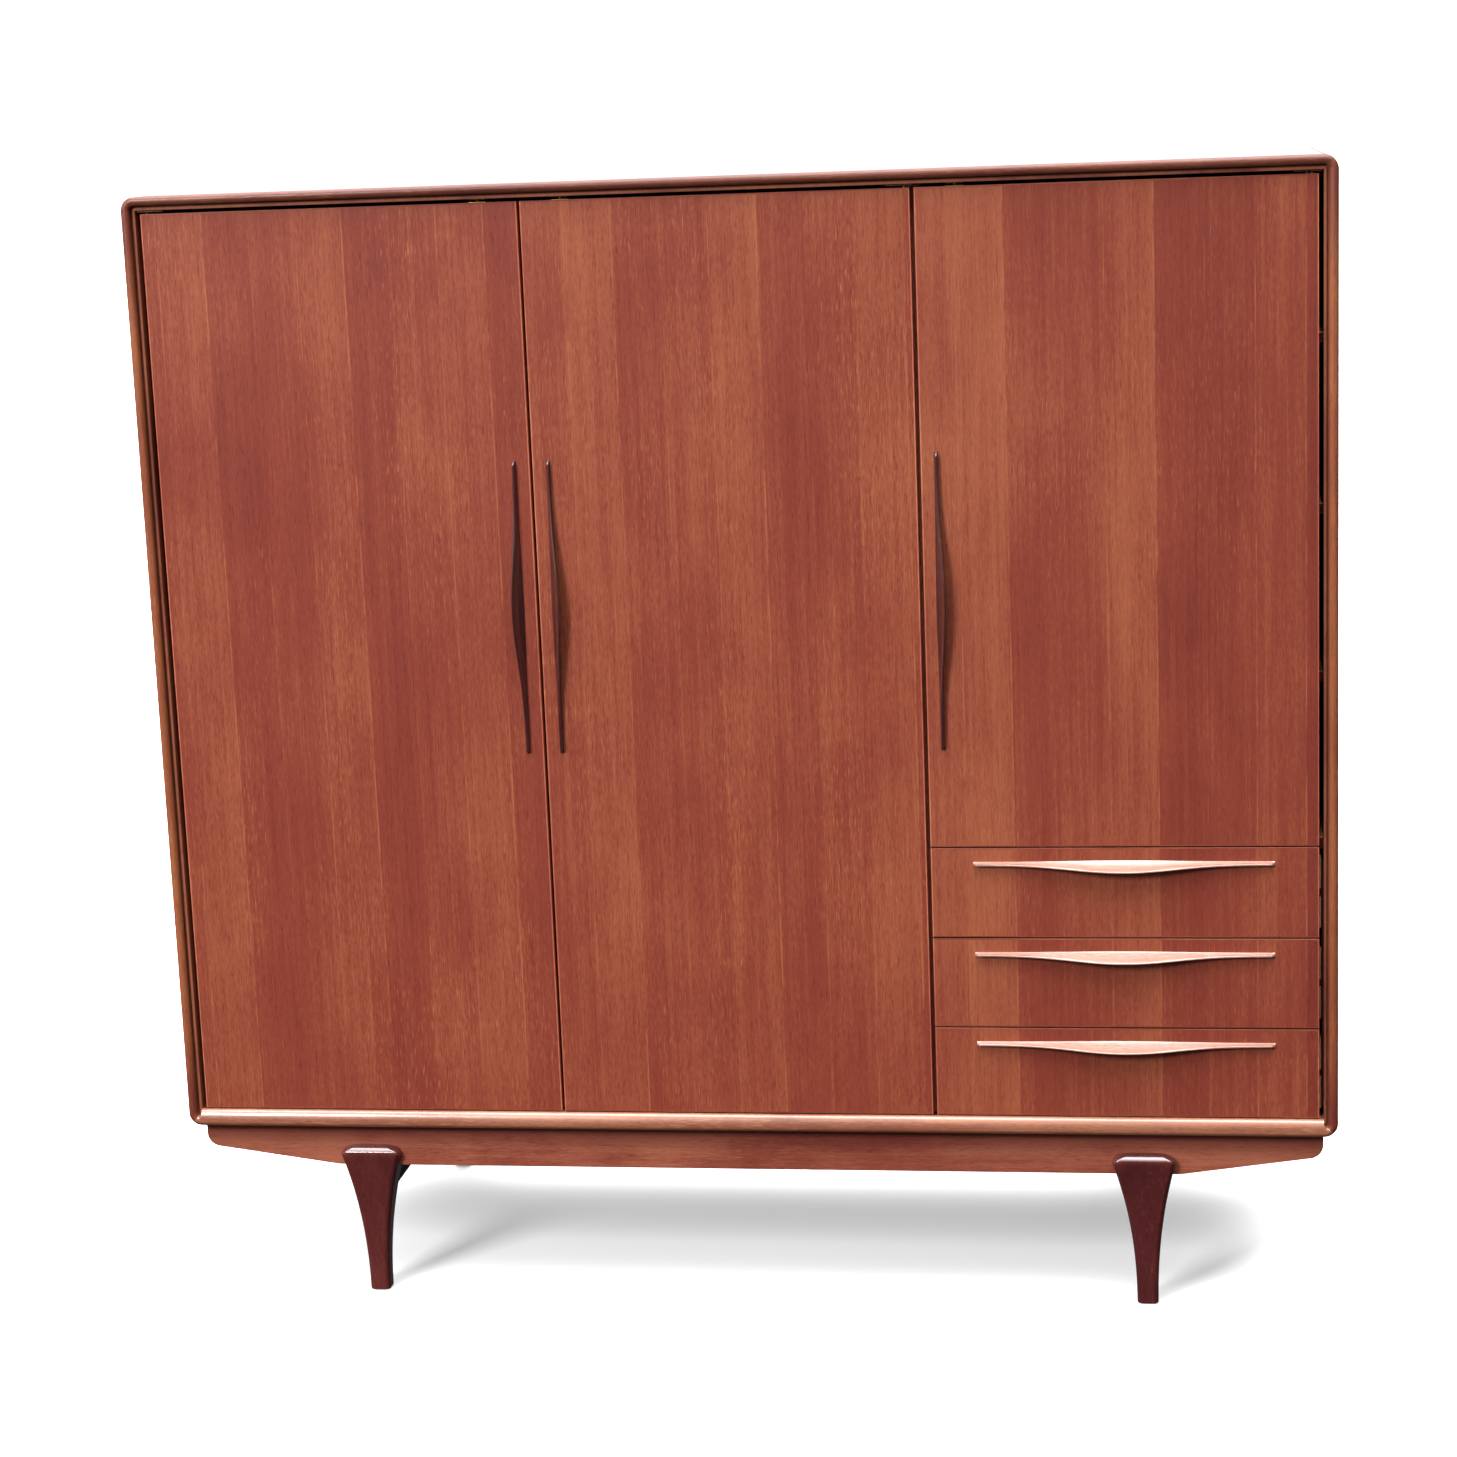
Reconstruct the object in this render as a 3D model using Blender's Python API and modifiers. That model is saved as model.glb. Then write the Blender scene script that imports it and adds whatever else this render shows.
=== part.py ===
"""Three-door wardrobe on a stand with four tapered legs.

Two doors close a hanging compartment with a hat shelf and a rail. The third door closes a
compartment with shelves, above three drawers. Metres, +Z up, the front faces -Y. The origin
is on the floor, under the middle of the whole piece.
"""

import math

import bmesh
import bpy
from mathutils import Matrix, Vector

MODEL_NAME = "Three_Door_Wardrobe"
GAP = 0.0003                    # left between pieces that touch
WELD = 0.00001                  # vertices closer than this are merged

# Case
CASE_WIDTH = 1.800
CASE_DEPTH = 0.650
CASE_HEIGHT = 1.461
PANEL = 0.020                   # sides, top, bottom and partition
CORNER_RADIUS = 0.0195          # long outer edges of the case
BACK_PANEL = 0.006
BACK_INSET = 0.006              # the back lies this far inside the rear edges
SHELF = 0.016

# Moulded frame round the front opening
FRAME_WIDTH = 0.021
FRAME_DEPTH = 0.034
BEAD_RADIUS = 0.007
FILLET_SETBACK = 0.009          # the flat strip inside the bead
QUIRK = 0.0015                  # groove between the bead and the strip
QUIRK_RISE = 0.0005
SILL_RISE = 0.0053              # the bottom rail is this much wider than the others
SILL_SETBACK = 0.0102           # its swept face ends this far back, at the sill

# Doors
DOOR_THICKNESS = 0.018
DOOR_SETBACK = 0.011            # door front behind the bead
DOOR_ROUNDING = 0.0015
SIDE_GAP = 0.0070
BETWEEN_GAP = 0.0046
TOP_GAP = 0.0055
BOTTOM_GAP = 0.0017             # above the sill
PIVOT_INSET = 0.009             # pivot axis from the door's edge

# Pivot hinges
PIN_RADIUS = 0.003
PIN_DEPTH = 0.012
BORE_DEPTH = 0.013
PIN_CLEARANCE = 0.0004
PLATE_LENGTH = 0.040
PLATE_WIDTH = 0.014
PLATE_END = 0.0135              # plate end to pin axis
UPPER_PLATE = 0.0020
LOWER_PLATE = 0.0010
ARM_THICKNESS = 0.0012
ARM_WIDTH = 0.016
LEAF_DROP = 0.008

# Drawers
DRAWER_COUNT = 3
DRAWER_PITCH = 0.1411
DRAWER_GAP = 0.0020
BOX_LENGTH = 0.540
BOX_HEIGHT = 0.112
BOX_RISE = 0.010                # box bottom above the front's lower edge
BOX_BOARD = 0.012
BOX_BACK_HEIGHT = 0.090
BOX_BASE = 0.005
BOX_BASE_RISE = 0.008
RUNNER_BACKING = 0.003
RUNNER_RIB = 0.006
RUNNER_HEIGHT = 0.012
RUNNER_CLEARANCE = 0.0010
GROOVE_DEPTH = 0.0058
GROOVE_CLEARANCE = 0.0004
RUNNER_RISE = 0.055             # rib's middle above the box bottom
RUNNER_LENGTH = 0.560
RUNNER_SETBACK = 0.002          # behind the frame
RUNNER_TOP_DROP = 0.010         # below the top of the upper box

# Handles
HANDLE_LENGTH = 0.449
HANDLE_MIDDLE_REACH = 0.022     # how far the middle stands out
HANDLE_TIP_REACH = 0.0075
HANDLE_TIP_BEVEL = 0.005        # the reach falls away over this length at each tip
HANDLE_TIP_FALL = 0.8           # by this share of itself
HANDLE_LEAN = 0.0090
HANDLE_HALF_WIDTH = 0.40        # of the half length, where the bow is half its reach
HANDLE_SHARPNESS = 2.1
HANDLE_ROOT_TOP = (0.0028, 0.0045)      # at a tip and in the middle, above the axis
HANDLE_ROOT_BOTTOM = (0.0032, 0.0065)   # the same, below the axis
HANDLE_EDGE = (0.0026, 0.0024)          # thickness of the front edge
HANDLE_STATIONS = 25
DOOR_HANDLE_INSET = 0.0235      # from the door's opening edge
DOOR_HANDLE_HEIGHT = 0.826      # its middle, above the case bottom
DRAWER_HANDLE_DROP = 0.024      # below the front's upper edge

# Hanging compartment and shelves
HAT_SHELF = 0.018
HAT_SHELF_HEIGHT = 1.190        # underside, above the case bottom
RAIL_RADIUS = 0.0125
HAT_SHELF_SETBACK = 0.002       # behind the frame
RAIL_DROP = 0.055               # rail axis below the hat shelf
SOCKET_RADIUS = 0.0175
SOCKET_LIP_RADIUS = 0.0165
SOCKET_LENGTH = 0.014
FLANGE_RADIUS = 0.025
FLANGE_THICKNESS = 0.003
DECK = 0.018
SHELF_COUNT = 3
SHELF_SETBACK = 0.008

# Stand
STAND_HEIGHT = 0.284
APRON = 0.020
APRON_SETBACK = 0.0247
APRON_END = 0.879
APRON_END_HEIGHT = 0.0387
APRON_HEIGHT = 0.0693
APRON_KNEE = 0.664              # where the straight slope meets the flat bottom
APRON_END_ROUNDING = 0.022
APRON_KNEE_ROUNDING = 0.030
LEG_X = 0.6085
LEG_SPLAY = 0.0035              # each foot stands this much further out than its head
LEG_HEAD = 0.096
LEG_FOOT = 0.0325
LEG_TOP_DROP = 0.0345           # leg head below the case bottom
LEG_TAPER_DROP = 0.0485         # the head is widest here, and its arched top starts
LEG_ARCH_POWER = 4              # of the arch's superellipse, across; it is 2 upwards
LEG_ARCH_END = math.radians(84)     # the arch stops here, in a small flat
LEG_HEAD_SETBACK = 0.007
LEG_HEAD_ROUNDING = 0.009       # along the upper front edge
LEG_HEAD_SOFTNESS = 1.25        # 1 is a plain chamfer and 2 a round
LEG_FOOT_SETBACK = 0.030
LEG_BACK = 0.063                # inner face
LEG_CURVE = 2.15
LEG_ROUNDING = 0.009
REAR_LEG_SETBACK = 0.003        # the rear legs are upright towards the wall
REAR_LEG_FOOT_BACK = 0.031      # and tapered on their inner face, up to the side rail
REAR_LEG_TAPER = 0.70
SIDE_RAIL = 0.024
SIDE_RAIL_INNER = 0.578
SIDE_RAIL_HEIGHT = 0.111

# Places worked out from the sizes
HANDLE_OVERHANG = HANDLE_MIDDLE_REACH + GAP - DOOR_SETBACK
Y_FRONT = -(CASE_DEPTH - HANDLE_OVERHANG) / 2
Y_BACK = Y_FRONT + CASE_DEPTH
Y_DOOR = Y_FRONT + DOOR_SETBACK
Y_INSIDE = Y_FRONT + FRAME_DEPTH + GAP
Y_BACK_PANEL = Y_BACK - BACK_INSET - BACK_PANEL
Y_PIVOT = Y_DOOR + DOOR_THICKNESS / 2
Z_CASE = STAND_HEIGHT
Z_TOP = Z_CASE + CASE_HEIGHT
X_OPENING = CASE_WIDTH / 2 - FRAME_WIDTH
X_INSIDE = CASE_WIDTH / 2 - PANEL
DOOR_WIDTH = (2 * X_OPENING - 2 * SIDE_GAP - 2 * BETWEEN_GAP) / 3
DOOR_PITCH = DOOR_WIDTH + BETWEEN_GAP
Z_SILL = Z_CASE + FRAME_WIDTH + SILL_RISE
Z_DOOR_LOW = Z_SILL + BOTTOM_GAP
Z_DOOR_HIGH = Z_TOP - FRAME_WIDTH - TOP_GAP
Z_RIGHT_DOOR_LOW = Z_DOOR_LOW + DRAWER_COUNT * DRAWER_PITCH
X_PARTITION = DOOR_PITCH / 2
Z_DECK = Z_RIGHT_DOOR_LOW - DRAWER_GAP / 2
BOX_SIDE_SPACE = GAP + RUNNER_BACKING + RUNNER_CLEARANCE
X_BOX_LEFT = X_PARTITION + PANEL / 2 + BOX_SIDE_SPACE
X_BOX_RIGHT = X_INSIDE - BOX_SIDE_SPACE
Y_BOX = Y_DOOR + DOOR_THICKNESS + GAP

parts = None
cutters = None


def clear_scene():
    for obj in list(bpy.context.scene.objects):
        bpy.data.objects.remove(obj, do_unlink=True)


def make_collection(name):
    collection = bpy.data.collections.new(name)
    bpy.context.scene.collection.children.link(collection)
    return collection


def make_material(name, color, roughness, metallic=0.0):
    material = bpy.data.materials.new(name)
    material.use_nodes = True
    shader = material.node_tree.nodes["Principled BSDF"]
    shader.inputs["Base Color"].default_value = (*color, 1.0)
    shader.inputs["Roughness"].default_value = roughness
    shader.inputs["Metallic"].default_value = metallic
    return material


def make_body(name, location):
    """An empty on a joint's axis, which the moving pieces hang from."""
    empty = bpy.data.objects.new(name, None)
    empty.empty_display_size = 0.05
    empty.location = location
    parts.objects.link(empty)
    return empty


def add_piece(name, data, location, material, body=None, rotation=(0, 0, 0)):
    """Link a mesh or curve as one named piece, at a world location."""
    obj = bpy.data.objects.new(name, data)
    parts.objects.link(obj)
    obj.rotation_euler = rotation
    obj.location = Vector(location)
    if body:
        obj.parent = body
        obj.location = Vector(location) - body.location
    if not data.materials:
        data.materials.append(material)
    return obj


def box_mesh(name, size):
    bm = bmesh.new()
    bmesh.ops.create_cube(bm, size=1.0)
    bmesh.ops.scale(bm, vec=Vector(size), verts=bm.verts)
    mesh = bpy.data.meshes.new(name)
    bm.to_mesh(mesh)
    bm.free()
    return mesh


def add_box(name, low, high, material, body=None, rounding=0.0):
    low, high = Vector(low), Vector(high)
    obj = add_piece(name, box_mesh(name, high - low), (low + high) / 2, material, body)
    if rounding:
        bevel = obj.modifiers.new("Rounded_edges", "BEVEL")
        bevel.width = rounding
        bevel.segments = 2
    return obj


def add_cutter(name, data, location, rotation=(0, 0, 0)):
    """A helper solid, never a piece itself."""
    obj = bpy.data.objects.new(name, data)
    obj.location = location
    obj.rotation_euler = rotation
    obj.hide_render = True
    obj.display_type = "WIRE"
    cutters.objects.link(obj)
    return obj


def box_cutter(name, low, high):
    low, high = Vector(low), Vector(high)
    return add_cutter(name, box_mesh(name, high - low), (low + high) / 2)


def cylinder_cutter(name, radius, location, z_low, z_high, segments=16):
    bm = bmesh.new()
    bmesh.ops.create_cone(bm, cap_ends=True, segments=segments, radius1=radius, radius2=radius,
                          depth=z_high - z_low)
    mesh = bpy.data.meshes.new(name)
    bm.to_mesh(mesh)
    bm.free()
    return add_cutter(name, mesh, (location[0], location[1], (z_low + z_high) / 2))


def combine(obj, tool, operation):
    boolean = obj.modifiers.new(tool.name, "BOOLEAN")
    boolean.object = tool
    boolean.operation = operation
    boolean.solver = "EXACT"


def rounded_outline(corners, steps=5):
    """Turn (x, y, radius) corners into outline points with an arc at each rounded corner."""
    points = []
    for i, (x, y, radius) in enumerate(corners):
        corner = Vector((x, y))
        if radius == 0:
            points.append(corner)
            continue
        before = (Vector(corners[i - 1][:2]) - corner).normalized()
        after = (Vector(corners[(i + 1) % len(corners)][:2]) - corner).normalized()
        half = before.angle(after) / 2
        middle = corner + (before + after).normalized() * radius / math.sin(half)
        start = corner + before * radius / math.tan(half) - middle
        turn = math.pi - 2 * half
        if before.x * after.y - before.y * after.x > 0:
            turn = -turn
        for step in range(steps + 1):
            points.append(middle + Matrix.Rotation(turn * step / steps, 2) @ start)
    return points


def add_outline(name, points, low, high, material, body=None):
    """A flat outline in X and Z, as thick as the space between the depths low and high."""
    curve = bpy.data.curves.new(name, "CURVE")
    curve.dimensions = "2D"
    curve.fill_mode = "BOTH"
    curve.extrude = (high - low) / 2
    spline = curve.splines.new("POLY")
    spline.points.add(len(points) - 1)
    for point, (x, z) in zip(spline.points, points):
        point.co = (x, z, 0, 1)
    spline.use_cyclic_u = True
    return add_piece(name, curve, (0, (low + high) / 2, 0), material, body, (math.pi / 2, 0, 0))


def loft_mesh(name, sections):
    """A closed skin over a row of sections, which all have the same number of points."""
    bm = bmesh.new()
    rings = [[bm.verts.new(point) for point in section] for section in sections]
    count = len(rings[0])
    for ring, following in zip(rings, rings[1:]):
        for i in range(count):
            j = (i + 1) % count
            bm.faces.new((ring[i], ring[j], following[j], following[i]))
    bm.faces.new(reversed(rings[0]))
    bm.faces.new(rings[-1])
    bmesh.ops.remove_doubles(bm, verts=bm.verts, dist=WELD)
    bmesh.ops.recalc_face_normals(bm, faces=bm.faces)
    mesh = bpy.data.meshes.new(name)
    bm.to_mesh(mesh)
    bm.free()
    mesh.shade_smooth()
    mesh.set_sharp_from_angle(angle=math.radians(35))
    return mesh


# ---- case ----

def build_side_panel(name, side, material):
    inner, outer = side * X_INSIDE, side * CASE_WIDTH / 2
    corners = [(inner, Z_CASE, 0), (outer, Z_CASE, CORNER_RADIUS),
               (outer, Z_TOP, CORNER_RADIUS), (inner, Z_TOP, 0)]
    add_outline(name, rounded_outline(corners), Y_INSIDE, Y_BACK, material)


def build_case(veneer, lining, plywood):
    build_side_panel("side_panel_left", -1, veneer)
    build_side_panel("side_panel_right", 1, veneer)
    x = X_INSIDE - GAP
    add_box("top_panel", (-x, Y_INSIDE, Z_TOP - PANEL), (x, Y_BACK, Z_TOP), veneer)
    add_box("bottom_panel", (-x, Y_INSIDE, Z_CASE), (x, Y_BACK, Z_CASE + PANEL), veneer)
    low, high = Z_CASE + PANEL + GAP, Z_TOP - PANEL - GAP
    left, right = X_PARTITION - PANEL / 2, X_PARTITION + PANEL / 2
    add_box("partition", (left, Y_INSIDE, low), (right, Y_BACK_PANEL - GAP, high), lining)
    y_low, y_high = Y_BACK_PANEL, Y_BACK_PANEL + BACK_PANEL
    add_box("back_panel_left", (-x, y_low, low), (X_PARTITION - GAP, y_high, high), plywood)
    add_box("back_panel_right", (X_PARTITION + GAP, y_low, low), (x, y_high, high), plywood)


def bead_profile():
    """Points (outwards from the opening, back from the front) round the moulding's section."""
    width, bead = FRAME_WIDTH, BEAD_RADIUS
    points = [(0, FRAME_DEPTH), (width, FRAME_DEPTH)]
    for step in range(9):
        angle = math.pi * step / 8
        points.append((width - bead + bead * math.cos(angle), bead - bead * math.sin(angle)))
    points.append((width - 2 * bead - QUIRK, FILLET_SETBACK - QUIRK_RISE))
    points.append((0, FILLET_SETBACK))
    return points


def sill_profile():
    """The bottom rail's section: the same bead, which sweeps up and back to the sill."""
    crest = FRAME_WIDTH - BEAD_RADIUS
    points = [(-SILL_RISE, FRAME_DEPTH)] + bead_profile()[1:7]
    for step in range(1, 7):
        angle = math.pi / 2 * step / 6
        points.append((crest - (crest + SILL_RISE) * math.sin(angle),
                       SILL_SETBACK * (1 - math.cos(angle))))
    return points


def place_section(profile, x, angle):
    """A profile standing across X at x, turned about the corner of the opening."""
    turn = Matrix.Rotation(angle, 3, "Y")
    return [Vector((x, 0, 0)) + turn @ Vector((0, back, out)) for out, back in profile]


def build_frame_member(name, length, location, turn, material, middle_profile=None):
    """A length of moulding over its opening edge, with an eighth turn round each corner."""
    left, right = [], []
    for step in range(5):
        angle = math.pi / 4 * (1 - step / 4)
        left.append(place_section(bead_profile(), -length / 2, -angle))
        right.append(place_section(bead_profile(), length / 2, angle))
    middle = []
    if middle_profile:
        end = length / 2 - GAP
        middle = [place_section(middle_profile, x, 0) for x in (-end, end)]
    mesh = loft_mesh(name, left + middle + right[::-1])
    add_piece(name, mesh, location, material, rotation=(0, turn, 0))


def build_frame(material):
    across = 2 * X_OPENING - 2 * GAP
    up = CASE_HEIGHT - 2 * FRAME_WIDTH
    z_middle = Z_CASE + CASE_HEIGHT / 2
    build_frame_member("frame_top", across, (0, Y_FRONT, z_middle + up / 2), 0, material)
    build_frame_member("frame_bottom", across, (0, Y_FRONT, z_middle - up / 2), math.pi, material,
                       sill_profile())
    up -= 2 * GAP
    build_frame_member("frame_left", up, (-X_OPENING, Y_FRONT, z_middle), -math.pi / 2, material)
    build_frame_member("frame_right", up, (X_OPENING, Y_FRONT, z_middle), math.pi / 2, material)


# ---- inside ----

def build_hat_shelf(material):
    low = Z_CASE + HAT_SHELF_HEIGHT
    add_box("hat_shelf", (-X_INSIDE + GAP, Y_INSIDE + HAT_SHELF_SETBACK, low),
            (X_PARTITION - PANEL / 2 - GAP, Y_BACK_PANEL - GAP, low + HAT_SHELF), material)


def build_socket(name, x, y, z, side, material):
    """A turned ring on the panel, which holds one end of the hanging rail."""
    bore = RAIL_RADIUS + GAP
    profile = [(bore, SOCKET_LENGTH), (SOCKET_LIP_RADIUS, SOCKET_LENGTH),
               (SOCKET_RADIUS, FLANGE_THICKNESS + 0.001), (FLANGE_RADIUS, FLANGE_THICKNESS),
               (FLANGE_RADIUS, 0), (bore, 0)]
    bm = bmesh.new()
    points = [bm.verts.new((radius, 0, height)) for radius, height in profile]
    for i, point in enumerate(points):
        bm.edges.new((point, points[(i + 1) % len(points)]))
    mesh = bpy.data.meshes.new(name)
    bm.to_mesh(mesh)
    bm.free()
    obj = add_piece(name, mesh, (x, y, z), material, rotation=(0, side * math.pi / 2, 0))
    screw = obj.modifiers.new("Turned", "SCREW")
    screw.steps = 24
    screw.render_steps = 24
    screw.use_merge_vertices = True
    screw.merge_threshold = WELD
    screw.use_smooth_shade = False


def build_hanging_rail(material):
    left, right = -X_INSIDE + GAP, X_PARTITION - PANEL / 2 - GAP
    y = (Y_INSIDE + Y_BACK_PANEL) / 2
    z = Z_CASE + HAT_SHELF_HEIGHT - RAIL_DROP
    bm = bmesh.new()
    bmesh.ops.create_cone(bm, cap_ends=True, segments=24, radius1=RAIL_RADIUS,
                          radius2=RAIL_RADIUS, depth=right - left)
    mesh = bpy.data.meshes.new("hanging_rail")
    bm.to_mesh(mesh)
    bm.free()
    mesh.shade_smooth()
    mesh.set_sharp_from_angle(angle=math.radians(35))
    add_piece("hanging_rail", mesh, ((left + right) / 2, y, z), material,
              rotation=(0, math.pi / 2, 0))
    build_socket("rail_socket_left", left, y, z, 1, material)
    build_socket("rail_socket_right", right, y, z, -1, material)


def build_shelves(material):
    """The fixed deck over the drawers and the loose shelves above it, evenly spaced."""
    left, right = X_PARTITION + PANEL / 2 + GAP, X_INSIDE - GAP
    y_low, y_high = Y_INSIDE, Y_BACK_PANEL - GAP
    deck_low, deck_high = Z_DECK - DECK / 2, Z_DECK + DECK / 2
    add_box("drawer_deck", (left, y_low, deck_low), (right, y_high, deck_high), material)
    space = (Z_TOP - PANEL - deck_high - SHELF_COUNT * SHELF) / (SHELF_COUNT + 1)
    for i, place in enumerate(("lower", "middle", "upper")):
        z = deck_high + space + i * (space + SHELF)
        add_box(f"shelf_{place}", (left, y_low + SHELF_SETBACK, z), (right, y_high, z + SHELF),
                material)


def build_runner_board(name, x_wall, side, material):
    """A board on the compartment's wall with one rib for each drawer to slide on."""
    back = x_wall + side * GAP
    face = back + side * RUNNER_BACKING
    rib = face + side * RUNNER_RIB
    low = Z_DOOR_LOW + BOX_RISE
    points = [(back, low), (face, low)]
    for i in range(DRAWER_COUNT):
        middle = low + i * DRAWER_PITCH + RUNNER_RISE
        for x, z in ((face, -1), (rib, -1), (rib, 1), (face, 1)):
            points.append((x, middle + z * RUNNER_HEIGHT / 2))
    high = low + (DRAWER_COUNT - 1) * DRAWER_PITCH + BOX_HEIGHT - RUNNER_TOP_DROP
    points += [(face, high), (back, high)]
    y = Y_INSIDE + RUNNER_SETBACK
    add_outline(name, points, y, y + RUNNER_LENGTH, material)


# ---- doors ----

def add_pivot_plate(name, x, z_rail, z_door, thickness, toward, material):
    """A flat plate on a rail of the frame, with the pin that the door turns on."""
    near, far = x - toward * PLATE_END, x + toward * (PLATE_LENGTH - PLATE_END)
    up = 1 if z_door > z_rail else -1
    zs = sorted((z_rail, z_rail + up * thickness))
    plate = add_box(name, (min(near, far), Y_PIVOT - PLATE_WIDTH / 2, zs[0]),
                    (max(near, far), Y_PIVOT + PLATE_WIDTH / 2, zs[1]), material)
    ends = sorted((z_rail + up * thickness / 2, z_door + up * PIN_DEPTH))
    combine(plate, cylinder_cutter(f"{name}_pin", PIN_RADIUS, (x, Y_PIVOT), *ends), "UNION")


def add_pivot_bracket(name, x, material):
    """A thin arm in the gap under the right door, with a leaf on the deck's front edge."""
    half = ARM_THICKNESS / 2
    low_x, high_x = x - ARM_WIDTH / 2, x + ARM_WIDTH / 2
    y_leaf = Y_INSIDE - GAP
    arm = add_box(name, (low_x, Y_PIVOT - PLATE_WIDTH / 2, Z_DECK - half),
                  (high_x, y_leaf, Z_DECK + half), material)
    leaf = box_cutter(f"{name}_leaf", (low_x, y_leaf - ARM_THICKNESS, Z_DECK - LEAF_DROP),
                      (high_x, y_leaf, Z_DECK + half))
    combine(arm, leaf, "UNION")
    pin = cylinder_cutter(f"{name}_pin", PIN_RADIUS, (x, Y_PIVOT), Z_DECK,
                          Z_RIGHT_DOOR_LOW + PIN_DEPTH)
    combine(arm, pin, "UNION")


def between(start, end, part):
    return start + (end - start) * part


def handle_section(bow, taper):
    """Points (out from the front, up) of the blade; bow is 1 in its middle and 0 at its tips."""
    reach = between(HANDLE_TIP_REACH, HANDLE_MIDDLE_REACH, bow) * taper
    top = between(*HANDLE_ROOT_TOP, bow)
    bottom = -between(*HANDLE_ROOT_BOTTOM, bow)
    edge = -HANDLE_LEAN * bow
    thick = between(*HANDLE_EDGE, bow)
    shelf = top - (top - edge - thick) * (0.35 + 0.20 * bow)
    hollow = bottom + (edge - thick - bottom) * 0.35
    return [(0, top), (0.30 * reach, shelf), (0.90 * reach, edge + thick), (reach, edge + thick / 3),
            (reach, edge - thick / 2), (0.88 * reach, edge - thick), (0.45 * reach, hollow),
            (0, bottom)]


def build_handle(name, location, body, turn, material):
    """A bowed blade: it stands out most in its middle, where it also leans to local -Z."""
    sections = []
    half = HANDLE_LENGTH / 2
    for i in range(HANDLE_STATIONS):
        along = math.sin(math.pi / 2 * (2 * i / (HANDLE_STATIONS - 1) - 1))
        bow = 0.5 ** ((abs(along) / HANDLE_HALF_WIDTH) ** HANDLE_SHARPNESS)
        into_tip = max(0, (abs(along) - 1) * half / HANDLE_TIP_BEVEL + 1)
        taper = 1 - HANDLE_TIP_FALL * into_tip
        sections.append([(along * half, -out, up) for out, up in handle_section(bow, taper)])
    add_piece(name, loft_mesh(name, sections), location, material, body, (0, turn, 0))


def build_door(name, x_low, z_low, body, veneer):
    """A door panel with a bore for a pivot pin in its lower and its upper edge."""
    high = (x_low + DOOR_WIDTH, Y_DOOR + DOOR_THICKNESS, Z_DOOR_HIGH)
    door = add_box(name, (x_low, Y_DOOR, z_low), high, veneer, body, DOOR_ROUNDING)
    radius = PIN_RADIUS + PIN_CLEARANCE
    x = body.location.x
    for end, z in (("lower", z_low), ("upper", Z_DOOR_HIGH)):
        bore = cylinder_cutter(f"{name}_{end}_bore", radius, (x, Y_PIVOT), z - BORE_DEPTH,
                               z + BORE_DEPTH)
        combine(door, bore, "DIFFERENCE")


def build_doors(veneer, solid, metal):
    doors = (("left", -DOOR_PITCH, Z_DOOR_LOW, -1), ("middle", 0, Z_DOOR_LOW, 1),
             ("right", DOOR_PITCH, Z_RIGHT_DOOR_LOW, 1))
    for place, x_middle, z_low, side in doors:
        x_pivot = x_middle + side * (DOOR_WIDTH / 2 - PIVOT_INSET)
        body = make_body(f"{place}_door_pivot", (x_pivot, Y_PIVOT, z_low))
        build_door(f"door_{place}", x_middle - DOOR_WIDTH / 2, z_low, body, veneer)
        x_handle = x_middle - side * (DOOR_WIDTH / 2 - DOOR_HANDLE_INSET)
        build_handle(f"door_{place}_handle", (x_handle, Y_DOOR - GAP, Z_CASE + DOOR_HANDLE_HEIGHT),
                     body, -side * math.pi / 2, solid)
        add_pivot_plate(f"pivot_{place}_upper", x_pivot, Z_TOP - FRAME_WIDTH - GAP, Z_DOOR_HIGH,
                        UPPER_PLATE, -side, metal)
        if place == "right":
            add_pivot_bracket("pivot_right_lower", x_pivot, metal)
        else:
            add_pivot_plate(f"pivot_{place}_lower", x_pivot, Z_SILL + GAP, Z_DOOR_LOW,
                            LOWER_PLATE, -side, metal)


# ---- drawers ----

def build_drawer_side(name, x_outer, side, z_low, body, material):
    """A box side with a groove on its outer face, which fits over the runner's rib."""
    inner = x_outer + side * BOX_BOARD
    groove = x_outer + side * GROOVE_DEPTH
    middle = z_low + RUNNER_RISE
    half = RUNNER_HEIGHT / 2 + GROOVE_CLEARANCE
    z_high = z_low + BOX_HEIGHT
    points = [(x_outer, z_low), (inner, z_low), (inner, z_high), (x_outer, z_high),
              (x_outer, middle + half), (groove, middle + half), (groove, middle - half),
              (x_outer, middle - half)]
    local = [(x - body.location.x, z - body.location.z) for x, z in points]
    side_board = add_outline(name, local, Y_BOX, Y_BOX + BOX_LENGTH, material, body)
    side_board.location = (0, Y_BOX + BOX_LENGTH / 2 - body.location.y, 0)


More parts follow.
